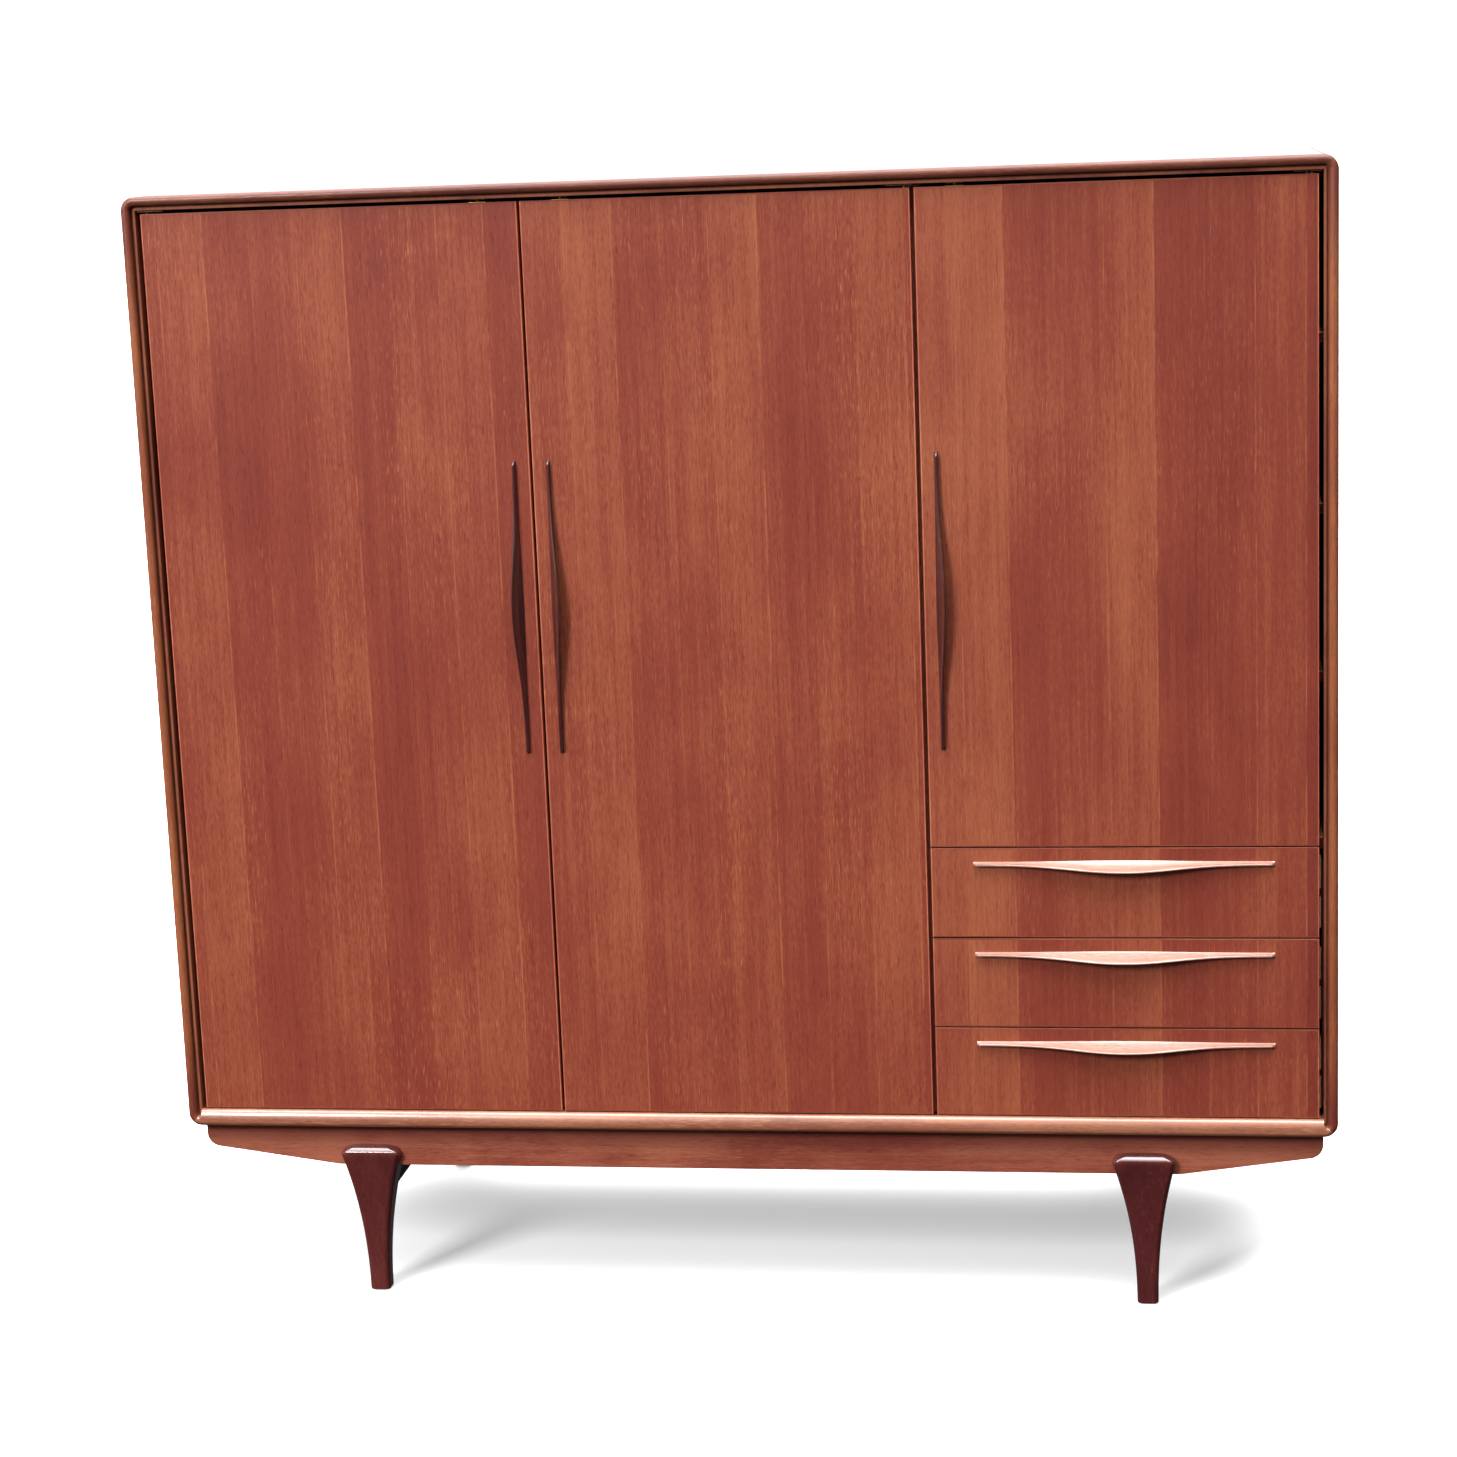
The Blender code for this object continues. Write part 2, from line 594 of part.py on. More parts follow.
def build_drawer(place, z_low, veneer, solid, lining, plywood):
    x_middle = DOOR_PITCH
    body = make_body(f"{place}_drawer_slide", (x_middle, Y_DOOR, z_low))
    name = f"drawer_{place}"
    z_high = z_low + DRAWER_PITCH - DRAWER_GAP
    add_box(f"{name}_front", (x_middle - DOOR_WIDTH / 2, Y_DOOR, z_low),
            (x_middle + DOOR_WIDTH / 2, Y_DOOR + DOOR_THICKNESS, z_high), veneer, body, DOOR_ROUNDING)
    build_handle(f"{name}_handle", (x_middle, Y_DOOR - GAP, z_high - DRAWER_HANDLE_DROP), body, 0, solid)
    box_low = z_low + BOX_RISE
    build_drawer_side(f"{name}_side_left", X_BOX_LEFT, 1, box_low, body, lining)
    build_drawer_side(f"{name}_side_right", X_BOX_RIGHT, -1, box_low, body, lining)
    left, right = X_BOX_LEFT + BOX_BOARD + GAP, X_BOX_RIGHT - BOX_BOARD - GAP
    y_end = Y_BOX + BOX_LENGTH
    base_low = box_low + BOX_BASE_RISE
    base_high = base_low + BOX_BASE
    add_box(f"{name}_back", (left, y_end - BOX_BOARD, base_high + GAP),
            (right, y_end, box_low + BOX_BACK_HEIGHT), lining, body)
    add_box(f"{name}_base", (left, Y_BOX, base_low), (right, y_end, base_high), plywood, body)


def build_drawers(veneer, solid, lining, plywood):
    for i, place in enumerate(("lower", "middle", "upper")):
        build_drawer(place, Z_DOOR_LOW + i * DRAWER_PITCH, veneer, solid, lining, plywood)
    build_runner_board("drawer_runners_left", X_PARTITION + PANEL / 2, 1, solid)
    build_runner_board("drawer_runners_right", X_INSIDE, -1, solid)


# ---- stand ----

def build_apron(name, low, high, material):
    """A long board with a straight flat bottom that slopes up to its two ends."""
    z = Z_CASE - GAP
    half = [(APRON_END, z, 0), (APRON_END, Z_CASE - APRON_END_HEIGHT, APRON_END_ROUNDING),
            (APRON_KNEE, Z_CASE - APRON_HEIGHT, APRON_KNEE_ROUNDING)]
    corners = half + [(-x, height, radius) for x, height, radius in reversed(half)]
    add_outline(name, rounded_outline(corners), low, high, material)


def leg_section(z, x_middle, half_width, front, back):
    """A rounded rectangle at height z; front and back are depths from the face of the case."""
    points = []
    radius = LEG_ROUNDING
    left, right = x_middle - half_width + radius, x_middle + half_width - radius
    centres = ((right, back - radius), (left, back - radius), (left, front + radius),
               (right, front + radius))
    for i, (x, y) in enumerate(centres):
        for step in range(4):
            angle = math.pi / 2 * (i + step / 3)
            points.append((x + radius * math.cos(angle), y + radius * math.sin(angle), z))
    return points


def leg_mesh(name, side, inwards):
    """A leg with an arched head, hollow-tapered to its foot and splayed a little to its side."""
    taper_top = STAND_HEIGHT - LEG_TAPER_DROP
    arch = LEG_TAPER_DROP - LEG_TOP_DROP
    sections = []
    for step in range(13):
        rise = step / 12
        swell = rise ** LEG_CURVE
        front, back = between(LEG_FOOT_SETBACK, LEG_HEAD_SETBACK, swell), LEG_BACK
        if inwards < 0:
            front = REAR_LEG_SETBACK
            back = between(REAR_LEG_FOOT_BACK, LEG_BACK, min(1, rise / REAR_LEG_TAPER) ** LEG_CURVE)
        sections.append(leg_section(rise * taper_top, side * LEG_SPLAY * (1 - swell),
                                    between(LEG_FOOT, LEG_HEAD, swell) / 2, front, back))
    head_front = front
    for step in range(1, 9):
        angle = LEG_ARCH_END * step / 8
        share = math.cos(angle) ** (2 / LEG_ARCH_POWER)
        drop = arch * (1 - math.sin(angle))
        into = max(0, 1 - drop / LEG_HEAD_ROUNDING)
        eased = (1 - into ** LEG_HEAD_SOFTNESS) ** (1 / LEG_HEAD_SOFTNESS)
        front = head_front + LEG_HEAD_ROUNDING * (1 - eased)
        sections.append(leg_section(STAND_HEIGHT - LEG_TOP_DROP - drop, 0, LEG_HEAD / 2 * share,
                                    front, LEG_BACK))
    return loft_mesh(name, [[(x, inwards * y, z) for x, y, z in section] for section in sections])


def build_stand(material):
    """Two aprons with the legs housed over them, and a rail from front to back at each end."""
    for place, y_face, inwards in (("front", Y_FRONT, 1), ("rear", Y_BACK, -1)):
        ends = sorted((y_face + inwards * APRON_SETBACK, y_face + inwards * (APRON_SETBACK + APRON)))
        build_apron(f"apron_{place}", ends[0], ends[1], material)
        low = Z_CASE - APRON_HEIGHT - GAP
        slot = box_cutter(f"{place}_slot", (-LEG_X - LEG_HEAD, ends[0] - GAP, low),
                          (LEG_X + LEG_HEAD, ends[1] + GAP, Z_TOP))
        for side, sign in (("left", -1), ("right", 1)):
            name = f"leg_{place}_{side}"
            leg = add_piece(name, leg_mesh(name, sign, inwards), (sign * LEG_X, y_face, 0), material)
            combine(leg, slot, "DIFFERENCE")
    y_low, y_high = Y_FRONT + LEG_BACK + GAP, Y_BACK - LEG_BACK - GAP
    for side, sign in (("left", -1), ("right", 1)):
        xs = sorted((sign * SIDE_RAIL_INNER, sign * (SIDE_RAIL_INNER + SIDE_RAIL)))
        add_box(f"side_rail_{side}", (xs[0], y_low, Z_CASE - SIDE_RAIL_HEIGHT),
                (xs[1], y_high, Z_CASE - GAP), material)


def main():
    global parts, cutters
    clear_scene()
    parts = make_collection(MODEL_NAME)
    cutters = make_collection("Cutters")
    veneer = make_material("Teak_veneer", (0.33, 0.085, 0.045), 0.38)
    solid = make_material("Solid_teak", (0.22, 0.05, 0.03), 0.36)
    stand = make_material("Dark_teak", (0.12, 0.028, 0.02), 0.40)
    lining = make_material("Light_lining", (0.52, 0.33, 0.17), 0.50)
    plywood = make_material("Plywood", (0.45, 0.28, 0.15), 0.60)
    brass = make_material("Brass", (0.72, 0.50, 0.20), 0.30, 1.0)
    build_case(veneer, lining, plywood)
    build_frame(solid)
    build_hat_shelf(lining)
    build_hanging_rail(brass)
    build_shelves(lining)
    build_doors(veneer, solid, brass)
    build_drawers(veneer, solid, lining, plywood)
    build_stand(stand)


main()
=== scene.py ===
"""Looks for the three-door teak wardrobe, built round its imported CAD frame.

Metres, +Z up, the front faces -Y. Every piece is made in place, in the frame's own space, and
then rides on its CAD body. Wood takes its grain from object coordinates, so the veneer runs on
without a break from the right door to the drawers under it.
"""
from math import copysign, cos, pi, radians, sin, tan, tau

import bmesh
import bpy
from mathutils import Matrix, Vector


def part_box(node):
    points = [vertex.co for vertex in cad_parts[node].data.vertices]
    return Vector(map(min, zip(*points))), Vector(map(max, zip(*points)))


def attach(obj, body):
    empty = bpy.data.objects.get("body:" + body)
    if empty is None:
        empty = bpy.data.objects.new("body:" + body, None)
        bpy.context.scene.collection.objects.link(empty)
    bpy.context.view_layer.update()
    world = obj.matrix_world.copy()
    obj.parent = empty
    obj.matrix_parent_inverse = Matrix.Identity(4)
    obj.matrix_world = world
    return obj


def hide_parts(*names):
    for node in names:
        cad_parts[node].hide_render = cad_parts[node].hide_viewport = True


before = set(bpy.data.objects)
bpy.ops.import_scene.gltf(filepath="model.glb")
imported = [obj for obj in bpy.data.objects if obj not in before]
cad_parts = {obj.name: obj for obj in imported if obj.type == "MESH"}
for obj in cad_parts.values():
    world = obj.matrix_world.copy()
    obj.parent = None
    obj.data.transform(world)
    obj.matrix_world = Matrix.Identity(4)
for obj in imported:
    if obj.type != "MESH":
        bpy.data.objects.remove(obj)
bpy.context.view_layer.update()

# Camera, from the case's lower front edge
CAMERA_OFFSET = (0.6792, -4.4883, 1.5519)
CAMERA_PITCH = radians(11.365)  # down
CAMERA_YAW = radians(8.672)     # to the left
CAMERA_ROLL = radians(-2.235)
CAMERA_LENS = 75.75
CAMERA_SENSOR = 36.0

# Moulded frame
FRAME_WIDTH = 0.021
FRAME_DEPTH = 0.034
BEAD_RADIUS = 0.007
QUIRK_SETBACK = 0.0115          # bottom of the groove beside the bead
FILLET_WIDTH = 0.0038
FILLET_SETBACK = 0.009
SOFTEN = 0.0004                 # on the fillet's two arrises
SILL_RISE = 0.0053
SILL_SETBACK = 0.0102
CORNER_RADIUS = 0.0195
FRAME_CORNER_STEPS = 10
STRIP_THICKNESS = 0.001         # the strips of painted shade behind the frame
STRIP_DEPTH = 0.040

# Every piece
SHARP_ANGLE = radians(38)
FULL_WEAR_ANGLE = radians(35)
GAP = 0.0003

# Boards
BOARD_ARRIS = 0.0008
BOARD_BORDER = 0.0015           # the narrow border inside a flat face
EASED_ARRIS = 0.0015            # on shelves and side rails
SIDE_INNER_ARRIS = 0.0006

# Doors and drawer fronts
LIPPING = 0.0024                # width of the solid edge beside the veneer
LEAF_TRIM = 0.0009              # where the middle door meets the right door and the drawers
DOOR_ARRIS = 0.0007
PIN_HOLE = 0.0034
PIN_HOLE_DEPTH = 0.013
PIVOT_INSET = 0.009

# Pivot plates, catches and screws
UPPER_PLATE = 0.0020
PLATE_END = 0.0135
PLATE_SCREWS = (0.010, 0.021)   # from the pin
CATCH_INSET = 0.060
CATCH_LENGTH = 0.026
CATCH_HALF_WIDTH = 0.0055
CATCH_PLATE = 0.0010
CATCH_BALL = 0.0030
CATCH_SCREW = 0.009             # from the ball
STRIKE_PLATE = 0.0006
STRIKE_RIM = ((0.0030, 0.0005), (0.0034, 0.0008), (0.0038, 0.0007), (0.0042, 0.0005))
SCREW_HEAD = ((1.0, -0.0006), (1.0, 0.0001), (0.86, 0.0005), (0.55, 0.0008), (0.2, 0.0009))
SCREW_SLOT = 0.13               # half its width, as a share of the head's radius
SCREW_SLOT_FLOOR = 0.0002
BACK_SCREW_PITCH = 0.24
BACK_SCREW_INSET = (0.012, 0.010)

# Drawer boxes, runners, shelf pins and rail sockets
RUNNER_RISE = 0.055
RUNNER_HALF = 0.006
RUNNER_BACKING = 0.003
RUNNER_SHOULDER = 0.0004        # where a rib leaves its board
RUNNER_RIB_ARRIS = 0.0015
RUNNER_END_ARRIS = 0.0003
RUNNER_SCREW_DROP = 0.018       # below the rib
RUNNER_SCREW_INSET = 0.03
GROOVE_DEPTH = 0.0058
GROOVE_HALF = 0.0064
GROOVE_ARRIS = 0.0004
SIDE_FOOT_ARRIS = 0.001
SIDE_TOP_ARRIS = 0.0022
SHELF_PIN = ((0.0045, 0.0001), (0.0045, 0.0010), (0.0038, 0.0015), (0.0026, 0.0019),
             (0.0026, 0.0088), (0.0018, 0.0096))
SHELF_PIN_INSET = 0.05
SOCKET_RADIUS = 0.0175
SOCKET_LENGTH = 0.014
FLANGE_RADIUS = 0.025
FLANGE_THICKNESS = 0.003

# Handles; a pair is for a tip and the middle
HANDLE_REACH = (0.0075, 0.022)
HANDLE_ROOT_TOP = (0.0028, 0.0045)
HANDLE_ROOT_BOTTOM = (0.0032, 0.0065)
HANDLE_EDGE = (0.0026, 0.0024)
HANDLE_HOLLOW_TOP = (0.0006, 0.0018)
HANDLE_HOLLOW_BOTTOM = (0.0005, 0.0027)
HANDLE_LEAN = 0.0090
HANDLE_HALF_WIDTH = 0.40
HANDLE_SHARPNESS = 2.1
HANDLE_TIP_BEVEL = 0.005
HANDLE_TIP_FALL = 0.8
HANDLE_STATIONS = 97
HANDLE_SHARP_ANGLE = radians(50)

# Stand; depths are from the face of the case
LEG_X = 0.6085
LEG_SPLAY = 0.0035
LEG_HEAD = 0.096
LEG_FOOT = 0.0325
LEG_TOP_DROP = 0.0345
LEG_TAPER_DROP = 0.0485
LEG_ARCH_POWER = 4
LEG_ARCH_END = radians(84)
LEG_HEAD_SETBACK = 0.007
LEG_HEAD_ROUNDING = 0.009
LEG_HEAD_SOFTNESS = 1.25
LEG_FOOT_SETBACK = 0.030
LEG_BACK = 0.063
LEG_CURVE = 2.15
LEG_ROUNDING = 0.009
LEG_FOOT_ARRIS = 0.0012
REAR_LEG_SETBACK = 0.003
REAR_LEG_FOOT_BACK = 0.031
REAR_LEG_TAPER = 0.70
GLIDE_RADIUS = 0.009
GLIDE_HEIGHT = 0.0016
APRON_KNEE = 0.664
APRON_END_HEIGHT = 0.0387
APRON_END_ROUNDING = 0.022
APRON_KNEE_ROUNDING = 0.030

# Studio
FLOOR_SIZE = 400
FLOOR_GLOW = 0.35
SKY = ((0.42, 0.004), (0.485, 0.03), (0.497, 0.12), (0.80, 0.13), (0.90, 0.35), (0.95, 0.90),
       (1.0, 1.0))
SKY_STRENGTH = 12.0
SKY_FLAG = 0.12                 # what is left of the sky on the right
SKY_FRONT = 0.34                # and in front, below the zenith
BACKDROP = 1.4                  # brightness of the plain white wall behind
KEY_PLACE = (-3.6, -6.4, 4.4)
KEY_TARGET = (0.0, 0.0, 0.7)
KEY_SIZE = (2.0, 2.0)
KEY_POWER = 600

# Veneer: pairs of leaves opened like a book
PAIR_WIDTH = 0.216
LEFT_PAIR_START = -0.778
MIDDLE_PAIR_START = -0.154
RIGHT_PAIR_START = 0.422
CASE_PAIR_START = -0.25
LEAF_WANDER = 0.10              # how far the figure strays near the doors' upper ends
WANDER_HEIGHTS = (1.15, 1.60)
LEAF_CONTRAST = 0.27
JOINT_BRIGHTNESS = 0.50
COAT_ROUGHNESS = 0.14

# Places, from the frame
case_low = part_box("frame_bottom")[0].z
case_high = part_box("frame_top")[1].z
case_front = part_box("frame_top")[0].y
case_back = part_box("side_panel_left")[1].y
case_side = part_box("side_panel_right")[1].x
opening_side = case_side - FRAME_WIDTH
frame_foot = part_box("frame_left")[0].z
stand_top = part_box("apron_front")[1].z

LEVELS = ("lower", "middle", "upper")
INWARDS = (("left", 1), ("right", -1))
OUTWARDS = (("left", -1), ("right", 1))
HINGE_SIDES = (("left", -1), ("middle", 1), ("right", 1))


# ---- node helpers ----

def node(tree, kind, inputs=None, **settings):
    """Add a node. An input given another node's output is linked; any other is set."""
    made = tree.nodes.new(kind)
    for key, value in settings.items():
        setattr(made, key, value)
    for key, value in (inputs or {}).items():
        if isinstance(value, bpy.types.NodeSocket):
            tree.links.new(value, made.inputs[key])
        else:
            made.inputs[key].default_value = value
    return made


def calc(tree, operation, a, b=0.0, c=0.0, clamp=False):
    made = node(tree, "ShaderNodeMath", {0: a, 1: b, 2: c}, operation=operation, use_clamp=clamp)
    return made.outputs[0]


def sway(tree, value, share, base, clamp=False):
    """Add to base a share of how far value is from 0.5, its middle."""
    off = calc(tree, "SUBTRACT", value, 0.5)
    return calc(tree, "MULTIPLY_ADD", off, share, base, clamp=clamp)


def spread(tree, value, low, high, to_low=0.0, to_high=1.0):
    """Map value from low..high to to_low..to_high, easing at both ends."""
    inputs = {"Value": value, "From Min": low, "From Max": high, "To Min": to_low,
              "To Max": to_high}
    return node(tree, "ShaderNodeMapRange", inputs, interpolation_type="SMOOTHSTEP").outputs[0]


def mix_values(tree, share, first, second):
    inputs = {0: share, 2: first, 3: second}
    return node(tree, "ShaderNodeMix", inputs, data_type="FLOAT").outputs[0]


def mix_colours(tree, share, first, second):
    first, second = ((*colour, 1) if isinstance(colour, tuple) else colour
                     for colour in (first, second))
    inputs = {0: share, 6: first, 7: second}
    return node(tree, "ShaderNodeMix", inputs, data_type="RGBA").outputs[2]


def ramp(tree, value, stops):
    """A colour ramp; stops are (place, colour), where a bare number is a grey."""
    made = node(tree, "ShaderNodeValToRGB", {0: value})
    elements = made.color_ramp.elements
    while len(elements) < len(stops):
        elements.new(0.5)
    for element, (place, colour) in zip(elements, stops):
        element.position = place
        element.color = (colour,) * 3 + (1,) if isinstance(colour, (int, float)) else (*colour, 1)
    return made.outputs[0]


def tone(red, green, blue):
    """A colour as 0-255 sRGB values, made linear."""
    values = [value / 255 for value in (red, green, blue)]
    return tuple(v / 12.92 if v <= 0.04045 else ((v + 0.055) / 1.055) ** 2.4 for v in values)


def new_material(name, roughness, metallic, specular=0.5):
    material = bpy.data.materials.new(name)
    material.use_nodes = True
    tree = material.node_tree
    shader = tree.nodes["Principled BSDF"]
    shader.inputs["Roughness"].default_value = roughness
    shader.inputs["Metallic"].default_value = metallic
    shader.inputs["Specular IOR Level"].default_value = specular
    place = node(tree, "ShaderNodeTexCoord").outputs["Object"]
    return material, tree, shader, place


def finish_surface(tree, shader, colour, rough, height, strength, distance):
    """Link a material's colour and roughness, and a bump from its height."""
    inputs = {"Height": height, "Strength": strength, "Distance": distance}
    bump = node(tree, "ShaderNodeBump", inputs).outputs[0]
    for value, name in ((colour, "Base Color"), (rough, "Roughness"), (bump, "Normal")):
        tree.links.new(value, shader.inputs[name])


def noise(tree, place, scale, detail, roughness=0.55, shift=(0, 0, 0)):
    mapped = node(tree, "ShaderNodeMapping", {"Vector": place, "Scale": scale, "Location": shift})
    inputs = {"Vector": mapped.outputs[0], "Scale": 1.0, "Detail": detail, "Roughness": roughness}
    return node(tree, "ShaderNodeTexNoise", inputs).outputs["Fac"]


# ---- wood ----

LEAF_TONES = ((0.0, 0.40), (0.05, 0.30), (0.22, 0.24), (0.31, 0.34), (0.35, 0.46), (0.60, 0.50),
              (0.64, 0.56), (0.68, 0.68), (0.97, 0.76), (1.0, 0.70))
LEAF_JOINTS = ((0.0, 1.0), (0.006, 0.0), (0.328, 0.0), (0.333, 0.5), (0.338, 0.0), (0.661, 0.0),
               (0.667, 0.8), (0.672, 0.0), (0.993, 0.0), (1.0, 1.0))


def leaf_pattern(tree, place, across, start, step):
    """How light each leaf is over its width, and the bright line where two leaves meet."""
    split = node(tree, "ShaderNodeSeparateXYZ", {0: place})
    pairs = calc(tree, "DIVIDE", calc(tree, "SUBTRACT", split.outputs[across], start), PAIR_WIDTH)
    part = calc(tree, "FRACT", pairs)
    bent = sway(tree, noise(tree, place, (3, 3, 1.6), 1.0), LEAF_WANDER, part, clamp=True)
    high_up = spread(tree, split.outputs["Z"], *WANDER_HEIGHTS)
    figure = ramp(tree, mix_values(tree, high_up, part, bent), LEAF_TONES)
    shade = calc(tree, "SUBTRACT", figure, 0.5)
    # the step shifts each pair of leaves in turn; on the right door it is painted shade, darker
    # towards the right
    number = calc(tree, "ADD", calc(tree, "FLOOR", pairs), 1.0)
    tone_and_light_shift = calc(tree, "MULTIPLY", number, step)
    joint = ramp(tree, part, LEAF_JOINTS)
    return calc(tree, "MULTIPLY_ADD", shade, LEAF_CONTRAST, tone_and_light_shift), joint


def wood(name, tones, along="Z", roughness=0.42, specular=0.5, coat=0.0, flecks=0.7,
         wear=0.25, leaf=None, tone_and_light_shift=0.0, coat_index=1.5, shaded=()):
    """Straight-grained wood. tones are dark, middle and light; leaf adds the veneer's pairs,
    and shaded says along which axis, from where to where, painted shade darkens the colour, and
    how strong. Each grain below has its repeats per metre across and along, detail, roughness and
    shift."""
    material, tree, shader, place = new_material(name, roughness, 0.0, specular)
    shader.inputs["Coat Weight"].default_value = coat
    shader.inputs["Coat Roughness"].default_value = COAT_ROUGHNESS
    shader.inputs["Coat IOR"].default_value = coat_index
    axis = "XYZ".index(along)

    def grain(across, lengthwise, detail, roughness, shift):
        scale = [across] * 3
        scale[axis] = lengthwise
        return noise(tree, place, scale, detail, roughness, (shift, shift, shift))

    broad = grain(42, 1.1, 2.0, 0.55, 0.0)
    streak = grain(210, 3.0, 4.0, 0.62, 3.1)
    fine = grain(1100, 18, 2.0, 0.6, 7.7)
    blotch = grain(7, 3.2, 3.0, 0.6, 1.3)
    fibre = grain(420, 85, 3.0, 0.7, 6.3)
    speck = spread(tree, grain(560, 42, 1.0, 0.5, 9.4), 0.37, 0.27)
    pore = spread(tree, grain(1500, 62, 1.0, 0.5, 5.2), 0.40, 0.27)
    dash_places = spread(tree, grain(9, 2.0, 2.0, 0.5, 8.8), 0.42, 0.66)
    dashes = spread(tree, grain(520, 40, 1.0, 0.5, 2.4), 0.58, 0.72)
    dash = calc(tree, "MULTIPLY", dashes, dash_places)

    level = 0.5 + tone_and_light_shift
    for value, share in ((broad, 0.26), (streak, 0.34), (fine, 0.30), (blotch, 0.50),
                         (fibre, 0.46)):
        level = sway(tree, value, share, level)
    level = calc(tree, "MULTIPLY_ADD", dash, 0.42 * flecks, level)
    level = calc(tree, "MULTIPLY_ADD", speck, -0.24 * flecks, level)
    if leaf:
        shade, joint = leaf_pattern(tree, place, *leaf)
        level = calc(tree, "ADD", level, shade)
        broken = spread(tree, grain(2, 7, 3.0, 0.7, 4.6), 0.40, 0.62)
        bright = calc(tree, "MULTIPLY", joint, broken)
        level = calc(tree, "MULTIPLY_ADD", bright, JOINT_BRIGHTNESS, level)
    edge = node(tree, "ShaderNodeAttribute", attribute_name="wear", attribute_type="GEOMETRY")
    rubbed = calc(tree, "MULTIPLY", edge.outputs["Fac"], spread(tree, blotch, 0.3, 0.6))
    level = calc(tree, "MULTIPLY_ADD", rubbed, wear, level, clamp=True)

    dark, middle, light = (tone(*values) for values in tones)
    colour = ramp(tree, level, ((0.14, dark), (0.5, middle), (0.86, light)))
    in_pores = tuple(value * 0.45 for value in dark)
    colour = mix_colours(tree, calc(tree, "MULTIPLY", pore, 0.42 * flecks), colour, in_pores)
    # painted shade: each shaded band mixes the colour towards a dark red-brown, a shadow painted
    # into the wood
    for across, begin, end, share in shaded:
        depth = node(tree, "ShaderNodeSeparateXYZ", {0: place}).outputs[across]
        painted_shade = spread(tree, depth, begin, end, 0.0, share)
        colour = mix_colours(tree, painted_shade, colour, tone(*PAINTED_SHADE_COLOUR))

    rough = sway(tree, streak, 0.22, roughness)
    rough = calc(tree, "MULTIPLY_ADD", pore, 0.14, rough)
    rough = calc(tree, "MULTIPLY_ADD", rubbed, -0.06, rough, clamp=True)
    height = calc(tree, "MULTIPLY_ADD", pore, -0.8, calc(tree, "MULTIPLY_ADD", fine, 0.5, streak))
    finish_surface(tree, shader, colour, rough, height, 0.35, 0.00025)
    return material


def plywood(name, tones, roughness):
    """Birch-faced board: wide wavy figure, fine grain, soft blotches and a dry surface."""
    material, tree, shader, place = new_material(name, roughness, 0.0, 0.3)
    waves = noise(tree, place, (26, 26, 1.4), 3.0, 0.6)
    rings = node(tree, "ShaderNodeTexWave",
                 {"Vector": place, "Scale": 5.5, "Distortion": 11.0, "Detail": 2.0,
                  "Detail Scale": 0.35}, wave_type="BANDS", bands_direction="X").outputs["Fac"]
    fine = noise(tree, place, (420, 420, 9), 3.0, 0.6, (2, 5, 1))
    blotch = noise(tree, place, (3, 3, 2), 2.0, 0.5, (7, 1, 4))
    level = 0.5
    for value, share in ((waves, 0.7), (rings, 0.16), (fine, 0.5), (blotch, 0.6)):
        level = sway(tree, value, share, level)
    dark, middle, light = (tone(*values) for values in tones)
    colour = ramp(tree, level, ((0.15, dark), (0.5, middle), (0.85, light)))
    rough = sway(tree, fine, 0.2, roughness)
    finish_surface(tree, shader, colour, rough, fine, 0.3, 0.0003)
    return material


def metal(name, colour, worn, roughness=0.28):
    """Plated metal with cloudy tarnish and fine rubbing marks."""
    material, tree, shader, place = new_material(name, roughness, 1.0)
    cloud = noise(tree, place, (90, 90, 90), 4.0, 0.6)
    marks = noise(tree, place, (900, 5200, 900), 2.0, 0.5, (1, 2, 3))
    tarnish = spread(tree, cloud, 0.42, 0.70)
    mixed = mix_colours(tree, tarnish, tone(*colour), tone(*worn))
    rough = calc(tree, "MULTIPLY_ADD", tarnish, 0.22, roughness)
    rough = sway(tree, marks, 0.2, rough, clamp=True)
    finish_surface(tree, shader, mixed, rough, marks, 0.2, 0.0001)
    return material


# dark red-brown of the painted shade that the shaded bands mix in
PAINTED_SHADE_COLOUR = (84, 24, 28)
DOOR_TONES = ((102, 38, 33), (124, 56, 41), (152, 86, 58))
LID_SHADE_TONES = ((54, 23, 20), (78, 38, 29), (106, 60, 42))
# top rail teak, toned darker than the stiles as painted shade
TOP_RAIL_SHADE_TONES = ((66, 30, 26), (98, 52, 40), (132, 80, 58))
SOLID_TONES = ((94, 42, 28), (130, 70, 44), (162, 100, 64))
SILL_TONES = ((94, 46, 32), (128, 74, 52), (164, 108, 82))
# the same teak for all handles: the door handles are toned near-black as painted shade, the drawer
# pulls near-white as painted highlight
SHADED_HANDLE_TONES = ((34, 14, 17), (52, 23, 25), (88, 44, 40))
LIT_PULL_TONES = ((136, 86, 72), (178, 132, 116), (208, 174, 162))
GROOVE_SHADE_TONES = ((72, 34, 26), (104, 54, 40), (136, 80, 58))
# solid teak lipping on upright edges, toned lighter than the across lipping: partly its own tone,
# partly a painted highlight along the doors' side edges
LIPPING_AND_HIGHLIGHT_TONES = ((130, 58, 46), (162, 86, 66), (194, 120, 92))
END_LIPPING_TONES = ((92, 38, 30), (118, 58, 44), (146, 82, 62))
STAND_TONES = ((58, 20, 21), (84, 33, 33), (112, 52, 44))
APRON_TONES = ((98, 40, 34), (134, 67, 51), (166, 98, 75))
LINING_TONES = ((168, 118, 76), (198, 152, 106), (222, 184, 140))
BEECH_TONES = ((150, 104, 70), (184, 138, 98), (208, 168, 128))
PLY_TONES = ((150, 106, 68), (186, 144, 100), (212, 178, 136))

